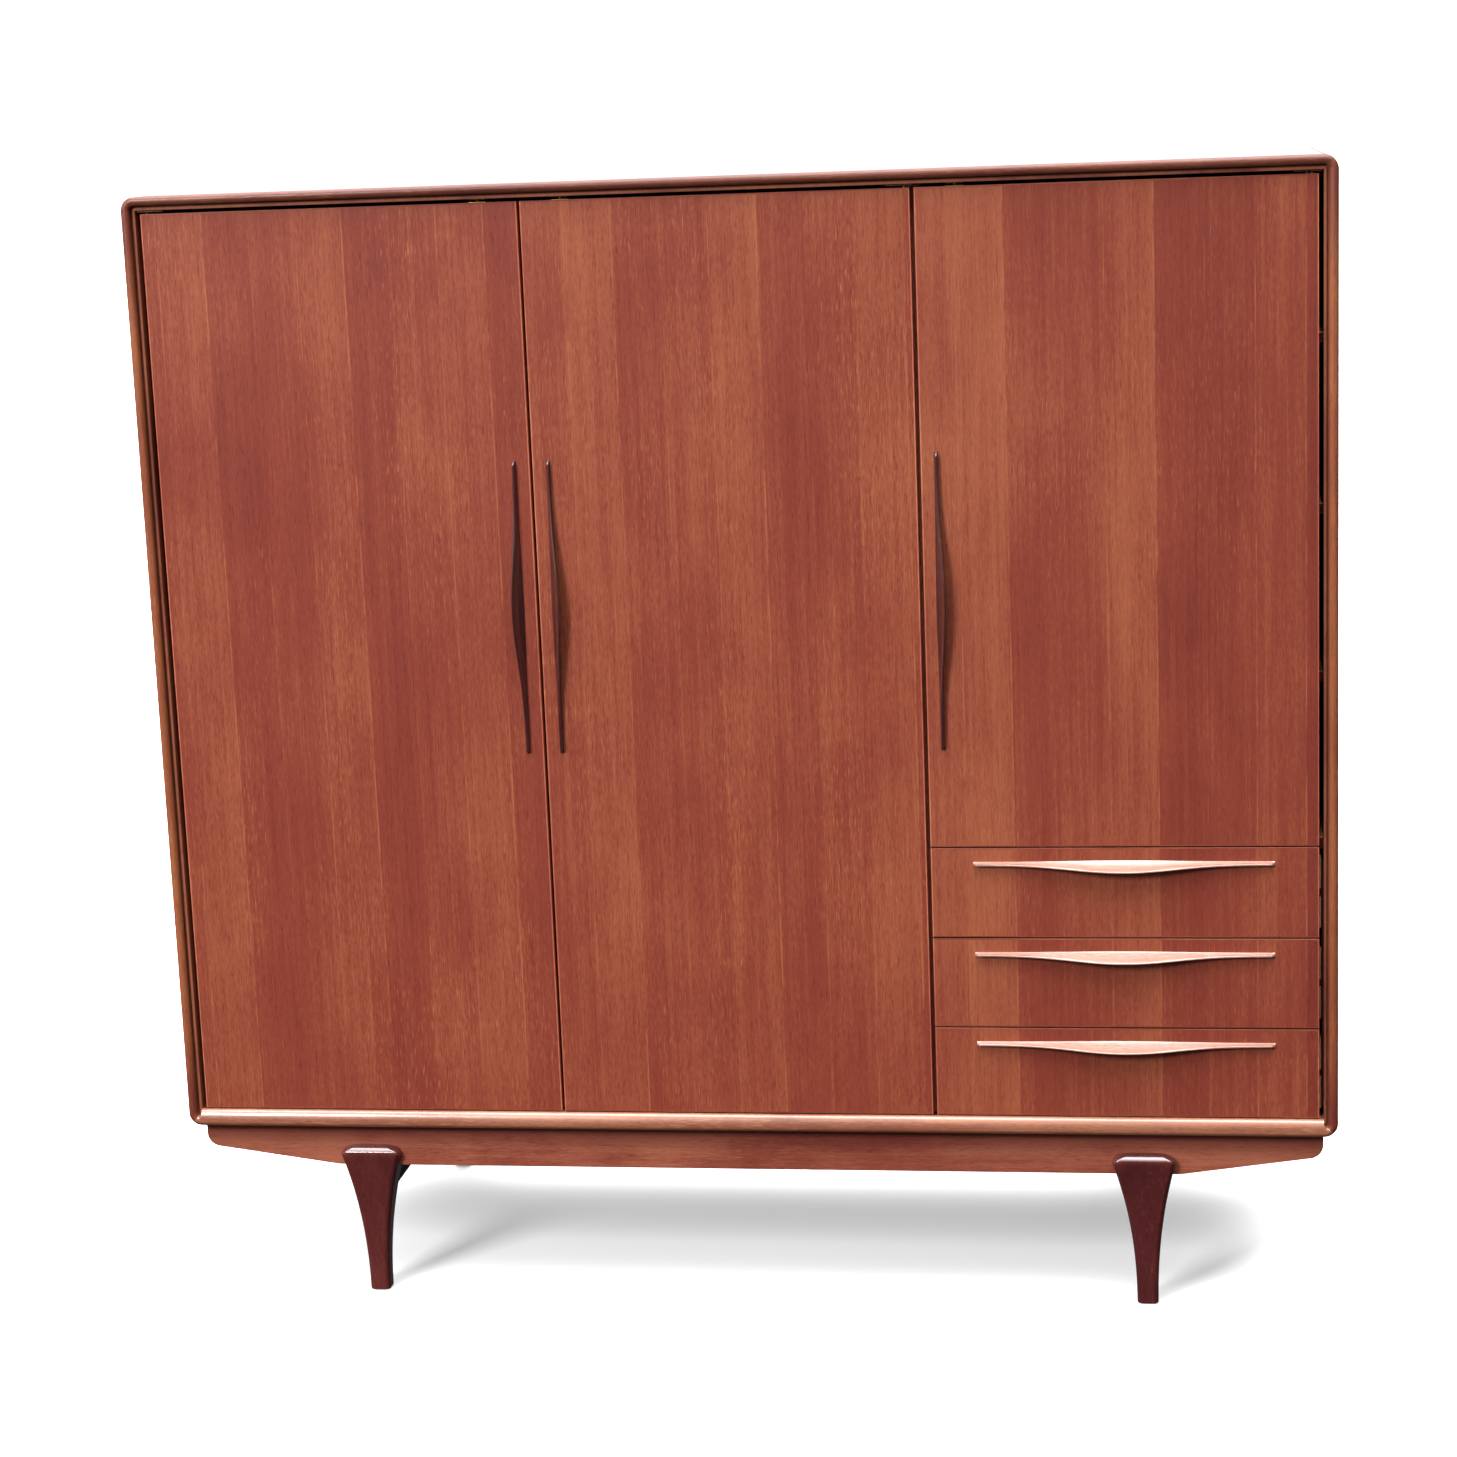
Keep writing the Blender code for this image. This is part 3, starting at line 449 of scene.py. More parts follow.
veneer_left = wood("Veneer_left_door", DOOR_TONES, specular=0.2, flecks=1.0,
                   leaf=("X", LEFT_PAIR_START, 0))
veneer_middle = wood("Veneer_middle_door", DOOR_TONES, specular=0.2, flecks=1.0, tone_and_light_shift=0.05,
                     leaf=("X", MIDDLE_PAIR_START, 0))
# painted light: the right door and the drawers are lifted to make up for the dimmer light on the
# right, and their pairs darken towards the right as painted shade
veneer_right = wood("Veneer_right_door", DOOR_TONES, specular=0.24, flecks=0.6, tone_and_light_shift=0.11,
                    leaf=("X", RIGHT_PAIR_START, -0.07))
veneer_side = wood("Veneer_case_side", DOOR_TONES, specular=0.4, flecks=1.0,
                   leaf=("Y", CASE_PAIR_START, 0))
# painted shade: the case's top and bottom boards take a darker copy of the side veneer, toning down
# the bright light on the top
veneer_top = wood("Veneer_case_top_painted_shade", LID_SHADE_TONES, "X", 0.36, coat=1.0, flecks=1.0,
                  leaf=("Y", CASE_PAIR_START, 0))
# painted shade: the top rail is toned darker than the stiles and darkens further over its top 6 mm
teak_top = wood("Teak_top_rail_painted_shade", TOP_RAIL_SHADE_TONES, "X", 0.36, specular=0.3, wear=0.15,
                shaded=(("Z", case_high - 0.006, case_high, 0.35),))
teak_sill = wood("Teak_bottom_rail", SILL_TONES, "X", 0.36, coat=1.0, wear=0.3)
# painted shade: darker teak for the moulding's groove and fillet, where shade falls
groove_shade_teak = wood("Teak_painted_groove_shade", GROOVE_SHADE_TONES, "Z", 0.45, 0.15)
# painted shade: the stiles darken towards their upper and lower ends, by the corners
teak_z = wood("Teak_grain_upright", SOLID_TONES, "Z", 0.36, wear=0.3,
              shaded=(("Z", case_high - 0.22, case_high - 0.02, 0.65),
                      ("Z", frame_foot + 0.16, frame_foot + 0.02, 0.70)))
# painted highlight on the drawer pulls; painted shade on the door handles below
handle_x = wood("Handle_teak_across_painted_highlight", LIT_PULL_TONES, "X", 0.30, coat=1.0, wear=0.35)
handle_z = wood("Handle_teak_upright_painted_shade", SHADED_HANDLE_TONES, "Z", 0.34, 0.3, 0.8, wear=0.35, coat_index=1.8)
# painted shade: the aprons darken towards their top, under the case
stand_x = wood("Stand_teak_across", APRON_TONES, "X", 0.42, specular=0.25, wear=0.3,
               shaded=(("Z", stand_top - 0.046, stand_top - 0.010, 0.60),))
stand_z = wood("Stand_teak_upright", STAND_TONES, "Z", 0.42, 0.22, 1.0, wear=0.3, coat_index=1.8)
stand_y = wood("Stand_teak_lengthwise", STAND_TONES, "Y", 0.46, specular=0.22, wear=0.3)
lipping_x = wood("Lipping_across", END_LIPPING_TONES, "X", 0.42, 0.15)
lipping_z = wood("Lipping_upright", LIPPING_AND_HIGHLIGHT_TONES, "Z", 0.42, 0.15)
lining_x = wood("Lining_grain_across", LINING_TONES, "X", 0.44, flecks=0.5, wear=0.15)
lining_y = wood("Lining_grain_lengthwise", LINING_TONES, "Y", 0.44, flecks=0.5, wear=0.15)
lining_z = wood("Lining_grain_upright", LINING_TONES, "Z", 0.44, flecks=0.5, wear=0.15)
# painted shade: the runners darken near their front ends, where they show through the door gaps
beech_y = wood("Beech_lengthwise", BEECH_TONES, "Y", 0.5, flecks=0.6, wear=0.2,
               shaded=(("Y", case_front + 0.10, case_front + 0.06, 0.96),))
ply = plywood("Birch_plywood", PLY_TONES, 0.62)
brass = metal("Aged_brass", (206, 164, 92), (140, 100, 52))
bronze = metal("Darkened_bronze", (92, 64, 44), (58, 38, 28), 0.42)
steel = metal("Dull_steel", (176, 176, 172), (120, 116, 110), 0.36)


# ---- mesh helpers ----

def add_object(name, data):
    obj = bpy.data.objects.new(name, data)
    bpy.context.scene.collection.objects.link(obj)
    return obj


def mark_wear(mesh):
    """Store how sharply the surface turns outwards at each point, where a hand rubs it."""
    bm = bmesh.new()
    bm.from_mesh(mesh)
    sharpest = []
    for vertex in bm.verts:
        turns = [edge.calc_face_angle_signed(0.0) for edge in vertex.link_edges]
        sharpest.append(min(1.0, max([0.0, *turns]) / FULL_WEAR_ANGLE))
    bm.free()
    attribute = mesh.attributes.new("wear", "FLOAT", "POINT")
    attribute.data.foreach_set("value", sharpest)


def add_piece(name, mesh, materials, body, replaces, sharp=SHARP_ANGLE):
    """Link a mesh made in the frame's space, ride it on its body and give it its finish."""
    obj = add_object(name, mesh)
    for material in materials:
        mesh.materials.append(material)
    mark_wear(mesh)
    mesh.shade_smooth()
    mesh.set_sharp_from_angle(angle=sharp)
    weighted = obj.modifiers.new("Weighted normals", "WEIGHTED_NORMAL")
    weighted.keep_sharp = True
    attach(obj, body)
    if replaces:
        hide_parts(*replaces)
    return obj


def add_shape(name, bm, material, body="cabinet", replaces=(), sharp=SHARP_ANGLE):
    """Make a piece of one material from a bmesh."""
    return add_piece(name, to_mesh(bm, name), [material], body, replaces, sharp)


def to_mesh(bm, name):
    bmesh.ops.recalc_face_normals(bm, faces=bm.faces)
    mesh = bpy.data.meshes.new(name)
    bm.to_mesh(mesh)
    bm.free()
    return mesh


def add_loft(bm, sections, endless=False):
    """Skin a run of sections with the same number of points. Both ends are closed, or else the
    last section runs on into the first."""
    rings = [[bm.verts.new(point) for point in section] for section in sections]
    count = len(rings[0])
    for first, second in zip(rings, rings[1:] + rings[:1] * endless):
        for i in range(count):
            j = (i + 1) % count
            bm.faces.new((first[i], first[j], second[j], second[i]))
    if not endless:
        bm.faces.new(rings[0][::-1])
        bm.faces.new(rings[-1])


def add_block(bm, low, high, arris, steps=2, inset=BOARD_BORDER):
    """A block with rounded arrises, and a narrow border inside each of its flat faces."""
    size = [b - a for a, b in zip(low, high)]
    middle = [(a + b) / 2 for a, b in zip(low, high)]
    matrix = Matrix.Translation(middle) @ Matrix.Diagonal((*size, 1))
    made = bmesh.ops.create_cube(bm, size=1.0, matrix=matrix)
    edges = list(dict.fromkeys(edge for vertex in made["verts"] for edge in vertex.link_edges))
    rounded = bmesh.ops.bevel(bm, geom=edges, offset=arris, segments=steps, profile=0.5,
                              affect="EDGES", clamp_overlap=True)
    touched = dict.fromkeys(face for vertex in rounded["verts"] for face in vertex.link_faces)
    flat = sorted(touched, key=lambda face: -face.calc_area())[:6]
    bmesh.ops.inset_individual(bm, faces=flat, thickness=min(inset, min(size) / 4))
    return flat


def facing(direction):
    """The turn that takes +Z to a direction."""
    return Vector((0, 0, 1)).rotation_difference(Vector(direction)).to_matrix()


def turned(profile, centre, direction, steps):
    """A ring of points for each (radius, height), about a direction through centre."""
    turn = facing(direction)
    angles = [tau * i / steps for i in range(steps)]
    circle = [(cos(angle), sin(angle)) for angle in angles]
    return [[Vector(centre) + turn @ Vector((radius * x, radius * y, height)) for x, y in circle]
            for radius, height in profile]


def add_turned(bm, profile, centre, direction, steps=24):
    """Turn a line of points about a direction through centre; both ends are closed."""
    add_loft(bm, turned(profile, centre, direction, steps))


def add_ring(bm, profile, centre, direction, steps):
    """Turn a closed loop of points about a direction through centre."""
    add_loft(bm, list(zip(*turned(profile, centre, direction, steps))), endless=True)


def add_screw(bm, centre, direction, radius, slot_turn):
    """A slotted screw head standing a little proud of its surface."""
    turn = facing(direction).to_4x4() @ Matrix.Rotation(slot_turn, 4, "Z")
    head = bmesh.new()
    profile = [(radius * share, height) for share, height in SCREW_HEAD]
    add_turned(head, profile, (0, 0, 0), (0, 0, 1), 20)
    half = radius * SCREW_SLOT
    for edge_x in (-half, half):
        geom = head.verts[:] + head.edges[:] + head.faces[:]
        bmesh.ops.bisect_plane(head, geom=geom, plane_co=(edge_x, 0, 0), plane_no=(1, 0, 0))
    for vertex in head.verts:
        if abs(vertex.co.x) < half * 1.01 and vertex.co.z > SCREW_SLOT_FLOOR * 1.5:
            vertex.co.z = SCREW_SLOT_FLOOR
    bmesh.ops.transform(head, matrix=Matrix.Translation(centre) @ turn, verts=head.verts)
    mesh = to_mesh(head, "screw")
    bm.from_mesh(mesh)
    bpy.data.meshes.remove(mesh)


def cut(obj, tool_bm):
    """Take a closed shape out of a piece for good."""
    tool = add_object("tool", to_mesh(tool_bm, "tool"))
    boolean = obj.modifiers.new("Cut", "BOOLEAN")
    boolean.object = tool
    boolean.solver = "EXACT"
    graph = bpy.context.evaluated_depsgraph_get()
    result = bpy.data.meshes.new_from_object(obj.evaluated_get(graph))
    obj.modifiers.remove(boolean)
    bpy.data.objects.remove(tool)
    obj.data = result


def line_face(mesh, direction):
    """Give the faces turned this way the second material."""
    for face in mesh.polygons:
        if face.normal.dot(Vector(direction)) > 0.9:
            face.material_index = 1


def block_piece(node_name, name, material, body="cabinet", arris=BOARD_ARRIS, steps=2,
                second=None, toward=(0, -1, 0)):
    """A rounded block in place of a box-shaped CAD node, with a second wood on one face."""
    bm = bmesh.new()
    add_block(bm, *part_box(node_name), arris, steps)
    mesh = to_mesh(bm, name)
    materials = [material]
    if second:
        line_face(mesh, toward)
        materials.append(second)
    add_piece(name, mesh, materials, body, [node_name])


# ---- case ----

def rounded_outline(corners, steps):
    """Turn (x, z, radius) corners into outline points, with an arc at each rounded corner."""
    points = []
    for i, (x, z, radius) in enumerate(corners):
        corner = Vector((x, z))
        before = (Vector(corners[i - 1][:2]) - corner).normalized()
        after = (Vector(corners[(i + 1) % len(corners)][:2]) - corner).normalized()
        half = before.angle(after) / 2
        middle = corner + (before + after).normalized() * radius / sin(half)
        start = corner + before * radius / tan(half) - middle
        turn = pi - 2 * half
        if before.x * after.y - before.y * after.x > 0:
            turn = -turn
        for step in range(steps + 1):
            points.append(middle + Matrix.Rotation(turn * step / steps, 2) @ start)
    return points


def outline(corners, low, high, arris, steps=10):
    """A board with an outline in X and Z between two depths, with softened front and rear edges."""
    sections = []
    for y, pull in ((low, arris), (low + arris * 0.3, arris * 0.3), (low + arris, 0),
                    (high - arris, 0), (high - arris * 0.3, arris * 0.3), (high, arris)):
        outline = rounded_outline(corners, steps)
        count = len(outline)
        area = sum(outline[i - 1].x * point.y - point.x * outline[i - 1].y
                   for i, point in enumerate(outline))
        pull = copysign(pull, area)
        ring = []
        for i, point in enumerate(outline):
            along = (outline[(i + 1) % count] - outline[i - 1]).normalized()
            ring.append((point.x - along.y * pull, y, point.y + along.x * pull))
        sections.append(ring)
    bm = bmesh.new()
    add_loft(bm, sections)
    return bm


def build_case():
    for side, sign in OUTWARDS:
        low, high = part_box(f"side_panel_{side}")
        inner = low.x if sign > 0 else high.x
        corners = [(inner, case_low, SIDE_INNER_ARRIS),
                   (sign * case_side, case_low, CORNER_RADIUS),
                   (sign * case_side, case_high, CORNER_RADIUS),
                   (inner, case_high, SIDE_INNER_ARRIS)]
        name = f"side_{side}_board"
        mesh = to_mesh(outline(corners, low.y, high.y, BOARD_ARRIS), name)
        line_face(mesh, (-sign, 0, 0))
        add_piece(name, mesh, [veneer_side, lining_z], "cabinet",
                  [f"side_panel_{side}"])
    for place, inside in (("top", -1), ("bottom", 1)):
        block_piece(f"{place}_panel", f"{place}_board", veneer_top, arris=0.0007,
                    second=lining_x, toward=(0, 0, inside))
    block_piece("partition", "partition_board", lining_z, second=lipping_z)
    for side in ("left", "right"):
        block_piece(f"back_panel_{side}", f"back_{side}_board", ply, arris=0.0005)


def bead_profile():
    """(outwards from the opening, back from the front) round the moulding's section."""
    width, bead = FRAME_WIDTH, BEAD_RADIUS
    flat = width - 2 * bead
    points = [(0, FRAME_DEPTH), (width, FRAME_DEPTH)]
    for step in range(25):
        angle = pi * step / 24
        points.append((width - bead + bead * cos(angle), bead - bead * sin(angle)))
    points += [(flat - 0.0004, QUIRK_SETBACK - 0.0006), (flat - 0.0010, QUIRK_SETBACK),
               (FILLET_WIDTH + 0.0004, QUIRK_SETBACK), (FILLET_WIDTH, QUIRK_SETBACK - SOFTEN),
               (FILLET_WIDTH, FILLET_SETBACK + SOFTEN), (FILLET_WIDTH - SOFTEN, FILLET_SETBACK),
               (SOFTEN, FILLET_SETBACK), (0, FILLET_SETBACK + SOFTEN)]
    return points


def sill_profile():
    """The bottom rail's section: a half bead, which sweeps up and back to the sill."""
    crest = FRAME_WIDTH - BEAD_RADIUS
    points = [(-SILL_RISE, FRAME_DEPTH)] + bead_profile()[1:15]
    for step in range(1, 19):
        angle = pi / 2 * step / 18
        points.append((crest - (crest + SILL_RISE) * sin(angle),
                       SILL_SETBACK * (1 - cos(angle))))
    points += [(-SILL_RISE, SILL_SETBACK + 0.0008 * step) for step in (1, 2)]
    return points


def build_frame():
    """Four mouldings; each turns an eighth of a circle round each corner of the opening."""
    left, right = -opening_side, opening_side
    low, high = case_low + FRAME_WIDTH, case_high - FRAME_WIDTH
    members = (("top", (left, high), (right, high), 0, teak_top),
               ("bottom", (right, low), (left, low), pi, teak_sill),
               ("left", (left, low), (left, high), -pi / 2, teak_z),
               ("right", (right, high), (right, low), pi / 2, teak_z))
    bead, sill = bead_profile(), sill_profile()
    for place, start, end, turn, material in members:
        sections = []
        for corner, side in ((start, -1), (end, 1)):
            fans = []
            for step in range(FRAME_CORNER_STEPS + 1):
                share = step / FRAME_CORNER_STEPS
                angle = turn + side * pi / 4 * share
                profile = bead
                if place == "bottom":
                    ease = share * share * (3 - 2 * share)
                    profile = [(a + (b - a) * ease, c + (d - c) * ease)
                               for (a, c), (b, d) in zip(sill, bead)]
                    if step:
                        profile = [(max(0.0, out), back) for out, back in profile]
                fans.append([(corner[0] + out * sin(angle), case_front + back,
                              corner[1] + out * cos(angle)) for out, back in profile])
            sections += fans[::-1] if side < 0 else fans
        bm = bmesh.new()
        add_loft(bm, sections)
        name = f"frame_{place}_moulding"
        mesh = to_mesh(bm, name)
        groove_side = FRAME_WIDTH - 2 * BEAD_RADIUS - 0.0002
        # painted shade: faces in the groove beside the bead take the darker teak
        for face in mesh.polygons:
            centre = face.center
            in_shaded_groove = abs(centre.x) < right + groove_side and centre.z < high + groove_side
            if in_shaded_groove and place != "bottom":
                face.material_index = 1
        add_piece(name, mesh, [material, groove_shade_teak], "cabinet", [f"frame_{place}"])


def build_shade_strips():
    """A thin strip of painted shade down the inner face of each side board, just behind the frame.
    """
    foot, head = (corner.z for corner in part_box("partition"))
    for side, sign in INWARDS:
        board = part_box(f"side_panel_{side}")
        inner = board[1].x if sign > 0 else board[0].x
        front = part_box(f"frame_{side}")[1].y + STRIP_THICKNESS
        across = sorted((inner, inner + sign * STRIP_THICKNESS))
        bm = bmesh.new()
        add_block(bm, Vector((across[0], front, foot)),
                  Vector((across[1], front + STRIP_DEPTH, head)), 0.0003)
        add_shape(f"{side}_shade_strip", bm, groove_shade_teak)


# ---- doors and drawers ----

def build_leaf(node_name, name, veneer, body, trim, pin_x=None):
    """A veneered panel with thin solid lippings, rounded arrises and holes for pivot pins.
    trim is what its left and right edges are planed back by."""
    low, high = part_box(node_name)
    low, high = low + Vector((trim[0], 0, 0)), high - Vector((trim[1], 0, 0))
    bm = bmesh.new()
    flat = add_block(bm, low, high, DOOR_ARRIS, 3, LIPPING - DOOR_ARRIS)
    bm.normal_update()
    inner = {face for face in flat if abs(face.normal.y) > 0.9}
    for face in bm.faces:
        middle = face.calc_center_median()
        near_end = min(middle.z - low.z, high.z - middle.z)
        near_side = min(middle.x - low.x, high.x - middle.x)
        face.material_index = 1 if near_end < near_side else 2
        if face in inner:
            face.material_index = 0 if middle.y < (low.y + high.y) / 2 else 3
    mesh = to_mesh(bm, name)
    obj = add_piece(name, mesh, [veneer, lipping_x, lipping_z, lining_z], body,
                    [node_name])
    if pin_x is not None:
        tools = bmesh.new()
        y = (low.y + high.y) / 2
        for z in (low.z, high.z):
            add_turned(tools, [(PIN_HOLE, -PIN_HOLE_DEPTH), (PIN_HOLE, PIN_HOLE_DEPTH)],
                       (pin_x, y, z), (0, 0, 1), 20)
        cut(obj, tools)


def between(pair, part):
    return pair[0] + (pair[1] - pair[0]) * part


def handle_section(bow, taper):
    """(out from the front, up) round the blade; bow is 1 in its middle and 0 at its tips."""
    reach = between(HANDLE_REACH, bow) * taper
    top = between(HANDLE_ROOT_TOP, bow)
    bottom = -between(HANDLE_ROOT_BOTTOM, bow)
    edge = -HANDLE_LEAN * bow
    thick = between(HANDLE_EDGE, bow)
    points = []
    for step in range(9):
        part = step / 8
        hollow = sin(pi * part) * between(HANDLE_HOLLOW_TOP, bow)
        points.append((reach * 0.93 * part, top + (edge + thick * 0.45 - top) * part - hollow))
    radius = thick * 0.55
    for step in range(1, 8):
        angle = pi * (0.5 - step / 8)
        points.append((reach - radius + radius * cos(angle) * 0.9,
                       edge - radius * 0.4 + radius * sin(angle)))
    for step in range(9):
        part = step / 8
        hollow = sin(pi * part) * between(HANDLE_HOLLOW_BOTTOM, bow)
        points.append((reach * 0.90 * (1 - part),
                       edge - thick * 0.85 + (bottom - edge + thick * 0.85) * part + hollow))
    return points


def build_handle(node_name, name, body, material, lean):
    """A bowed blade over its CAD node; lean is the way its middle bends over."""
    low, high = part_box(node_name)
    size, up = high - low, -lean
    along = Vector((abs(up.z), 0, abs(up.x)))
    half = size.dot(along) / 2
    origin = (low + high) / 2 + up * (abs(size.dot(up)) / 2 - HANDLE_ROOT_TOP[1])
    origin.y = high.y
    sections = []
    for i in range(HANDLE_STATIONS):
        place = sin(pi / 2 * (2 * i / (HANDLE_STATIONS - 1) - 1))
        bow = 0.5 ** ((abs(place) / HANDLE_HALF_WIDTH) ** HANDLE_SHARPNESS)
        into_tip = max(0.0, (abs(place) - 1) * half / HANDLE_TIP_BEVEL + 1)
        taper = 1 - HANDLE_TIP_FALL * into_tip
        sections.append([origin + along * place * half + Vector((0, -out, 0)) + up * height
                         for out, height in handle_section(bow, taper)])
    bm = bmesh.new()
    add_loft(bm, sections)
    add_shape(name, bm, material, body, [node_name], HANDLE_SHARP_ANGLE)


def build_doors():
    veneers = (veneer_left, veneer_middle, veneer_right)
    trims = ((0, 0), (0, LEAF_TRIM), (LEAF_TRIM, 0))
    for (place, side), veneer, trim in zip(HINGE_SIDES, veneers, trims):
        body = f"{place}_door"
        low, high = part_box(f"door_{place}")
        pin_x = high.x - PIVOT_INSET if side > 0 else low.x + PIVOT_INSET
        build_leaf(f"door_{place}", f"{place}_door_leaf", veneer, body, trim, pin_x)
        build_handle(f"door_{place}_handle", f"{place}_door_blade", body, handle_z,
                     Vector((side, 0, 0)))


def build_drawers():
    for place in LEVELS:
        body = f"{place}_drawer"
        node_name = f"drawer_{place}"
        build_leaf(f"{node_name}_front", f"{place}_drawer_leaf", veneer_right, body,
                   (LEAF_TRIM, 0))
        build_handle(f"{node_name}_handle", f"{place}_drawer_blade", body, handle_x,
                     Vector((0, 0, -1)))
        for side, sign in INWARDS:
            low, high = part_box(f"{node_name}_side_{side}")
            outer, inner = (low.x, high.x) if sign > 0 else (high.x, low.x)
            floor_z, rib = low.z, low.z + RUNNER_RISE
            groove = outer + sign * GROOVE_DEPTH
            corners = [(outer, floor_z, SIDE_FOOT_ARRIS), (inner, floor_z, SIDE_FOOT_ARRIS),
                       (inner, high.z, SIDE_TOP_ARRIS), (outer, high.z, SIDE_TOP_ARRIS)]
            corners += [(x, rib + up * GROOVE_HALF, GROOVE_ARRIS)
                        for x, up in ((outer, 1), (groove, 1), (groove, -1), (outer, -1))]
            bm = outline(corners, low.y, high.y, GROOVE_ARRIS, 4)
            add_shape(f"{place}_drawer_{side}_board", bm, lining_y, body,
                      [f"{node_name}_side_{side}"])
        block_piece(f"{node_name}_back", f"{place}_drawer_rear", lining_x, body,
                    arris=0.001)
        block_piece(f"{node_name}_base", f"{place}_drawer_floor", ply, body,
                    arris=0.0004)


# ---- inside ----

def build_runners():
    """A board on each side of the drawers, with one rounded rib for each drawer."""
    boxes = [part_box(f"drawer_{place}_side_left")[0].z for place in LEVELS]
    for side, sign in INWARDS:
        low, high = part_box(f"drawer_runners_{side}")
        back, rib = (low.x, high.x) if sign > 0 else (high.x, low.x)
        face = back + sign * RUNNER_BACKING
        corners = [(back, low.z, RUNNER_END_ARRIS), (face, low.z, RUNNER_END_ARRIS)]
        for box_low in boxes:
            middle = box_low + RUNNER_RISE
            corners += [(x, middle + up * RUNNER_HALF, radius) for x, up, radius in
                        ((face, -1, RUNNER_SHOULDER), (rib, -1, RUNNER_RIB_ARRIS),
                         (rib, 1, RUNNER_RIB_ARRIS), (face, 1, RUNNER_SHOULDER))]
        corners += [(face, high.z, RUNNER_END_ARRIS), (back, high.z, RUNNER_END_ARRIS)]
        add_shape(f"runner_{side}_board", outline(corners, low.y, high.y, RUNNER_END_ARRIS, 4),
                  beech_y, replaces=[f"drawer_runners_{side}"])
        screws = bmesh.new()
        near, far = low.y + RUNNER_SCREW_INSET, high.y - RUNNER_SCREW_INSET
        for box_low in boxes:
            z = box_low + RUNNER_RISE - RUNNER_SCREW_DROP
            for y in (near, (low.y + high.y) / 2, far):
                add_screw(screws, (face, y, z), (sign, 0, 0), 0.0028, y * 9)
        add_shape(f"runner_{side}_screws", screws, steel)


def build_shelves():
    """Shelves with eased edges, and four turned pins under each loose one."""
    boards = {"hat_shelf": "hat_shelf_board", "drawer_deck": "drawer_deck_board"}
    boards |= {f"shelf_{place}": f"{place}_shelf_board" for place in LEVELS}
    for node_name, name in boards.items():
        block_piece(node_name, name, lining_x, arris=EASED_ARRIS, steps=3,
                    second=lipping_x)
    for place in LEVELS:
        low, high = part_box(f"shelf_{place}")
        bm = bmesh.new()
        for x, sign in ((low.x, 1), (high.x, -1)):
            for y in (low.y + SHELF_PIN_INSET, high.y - SHELF_PIN_INSET):
                add_turned(bm, SHELF_PIN, (x, y, low.z - SHELF_PIN[0][0] - GAP), (sign, 0, 0))
        add_shape(f"{place}_shelf_pins", bm, brass)


def build_rail():
    """A brass tube between two screwed sockets."""
    low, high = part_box("hanging_rail")
    radius = (high.z - low.z) / 2
    y, z = (low.y + high.y) / 2, (low.z + high.z) / 2
    bm = bmesh.new()
    length = high.x - low.x
    add_turned(bm, [(radius - 0.0008, 0), (radius, 0.0008), (radius, length - 0.0008),
                    (radius - 0.0008, length)], (low.x, y, z), (1, 0, 0), 64)
    add_shape("hanging_rail_tube", bm, brass, replaces=["hanging_rail"])
    for side, sign in INWARDS:
        socket_low, socket_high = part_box(f"rail_socket_{side}")
        wall = socket_low.x if sign > 0 else socket_high.x
        bm = bmesh.new()
        bore = radius + GAP
        profile = [(bore + 0.0005, SOCKET_LENGTH), (SOCKET_RADIUS - 0.0020, SOCKET_LENGTH),
                   (SOCKET_RADIUS - 0.0010, SOCKET_LENGTH - 0.0006),
                   (SOCKET_RADIUS, FLANGE_THICKNESS + 0.0022),
                   (SOCKET_RADIUS + 0.0010, FLANGE_THICKNESS + 0.0006),
                   (SOCKET_RADIUS + 0.0024, FLANGE_THICKNESS),
                   (FLANGE_RADIUS - 0.0008, FLANGE_THICKNESS),
                   (FLANGE_RADIUS, FLANGE_THICKNESS - 0.0009), (FLANGE_RADIUS, 0), (bore, 0),
                   (bore, SOCKET_LENGTH - 0.0006)]
        add_ring(bm, profile, (wall, y, z), (sign, 0, 0), 64)
        for turn in range(3):
            angle = tau * turn / 3 + pi / 2
            reach = (SOCKET_RADIUS + FLANGE_RADIUS + 0.0012) / 2
            place = (wall + sign * FLANGE_THICKNESS, y + reach * cos(angle),
                     z + reach * sin(angle))
            add_screw(bm, place, (sign, 0, 0), 0.0021, turn + 0.4)
        add_shape(f"rail_socket_{side}_ring", bm, brass, replaces=[f"rail_socket_{side}"])


def build_catches():
    """A sprung ball under the top rail and a dimpled plate in each door's upper edge."""
    under = case_high - FRAME_WIDTH
    for place, side in HINGE_SIDES:
        low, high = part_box(f"door_{place}")
        x = low.x + CATCH_INSET if side > 0 else high.x - CATCH_INSET
        y = (low.y + high.y) / 2
        half = CATCH_LENGTH / 2
        near, far = y - CATCH_HALF_WIDTH, y + CATCH_HALF_WIDTH
        plate_low = under - GAP - CATCH_PLATE
        bm = bmesh.new()
        add_block(bm, (x - half, near, plate_low), (x + half, far, under - GAP), 0.0003, 2, 0.0003)
        ball = [(CATCH_BALL * cos(pi / 2 * step / 8),
                 CATCH_BALL * sin(pi / 2 * step / 8)) for step in range(8)]
        add_turned(bm, ball + [(0.0002, CATCH_BALL)], (x, y, plate_low + 0.0001), (0, 0, -1))
        for offset in (-CATCH_SCREW, CATCH_SCREW):
            add_screw(bm, (x + offset, y, plate_low), (0, 0, -1), 0.0019, offset * 90)
        add_shape(f"{place}_door_catch", bm, brass)
        bm = bmesh.new()
        add_block(bm, (x - half, near, high.z), (x + half, far, high.z + STRIKE_PLATE), 0.0002, 2,
                  0.0003)
        add_ring(bm, STRIKE_RIM, (x, y, high.z), (0, 0, 1), 32)
        add_shape(f"{place}_door_strike", bm, brass, f"{place}_door")


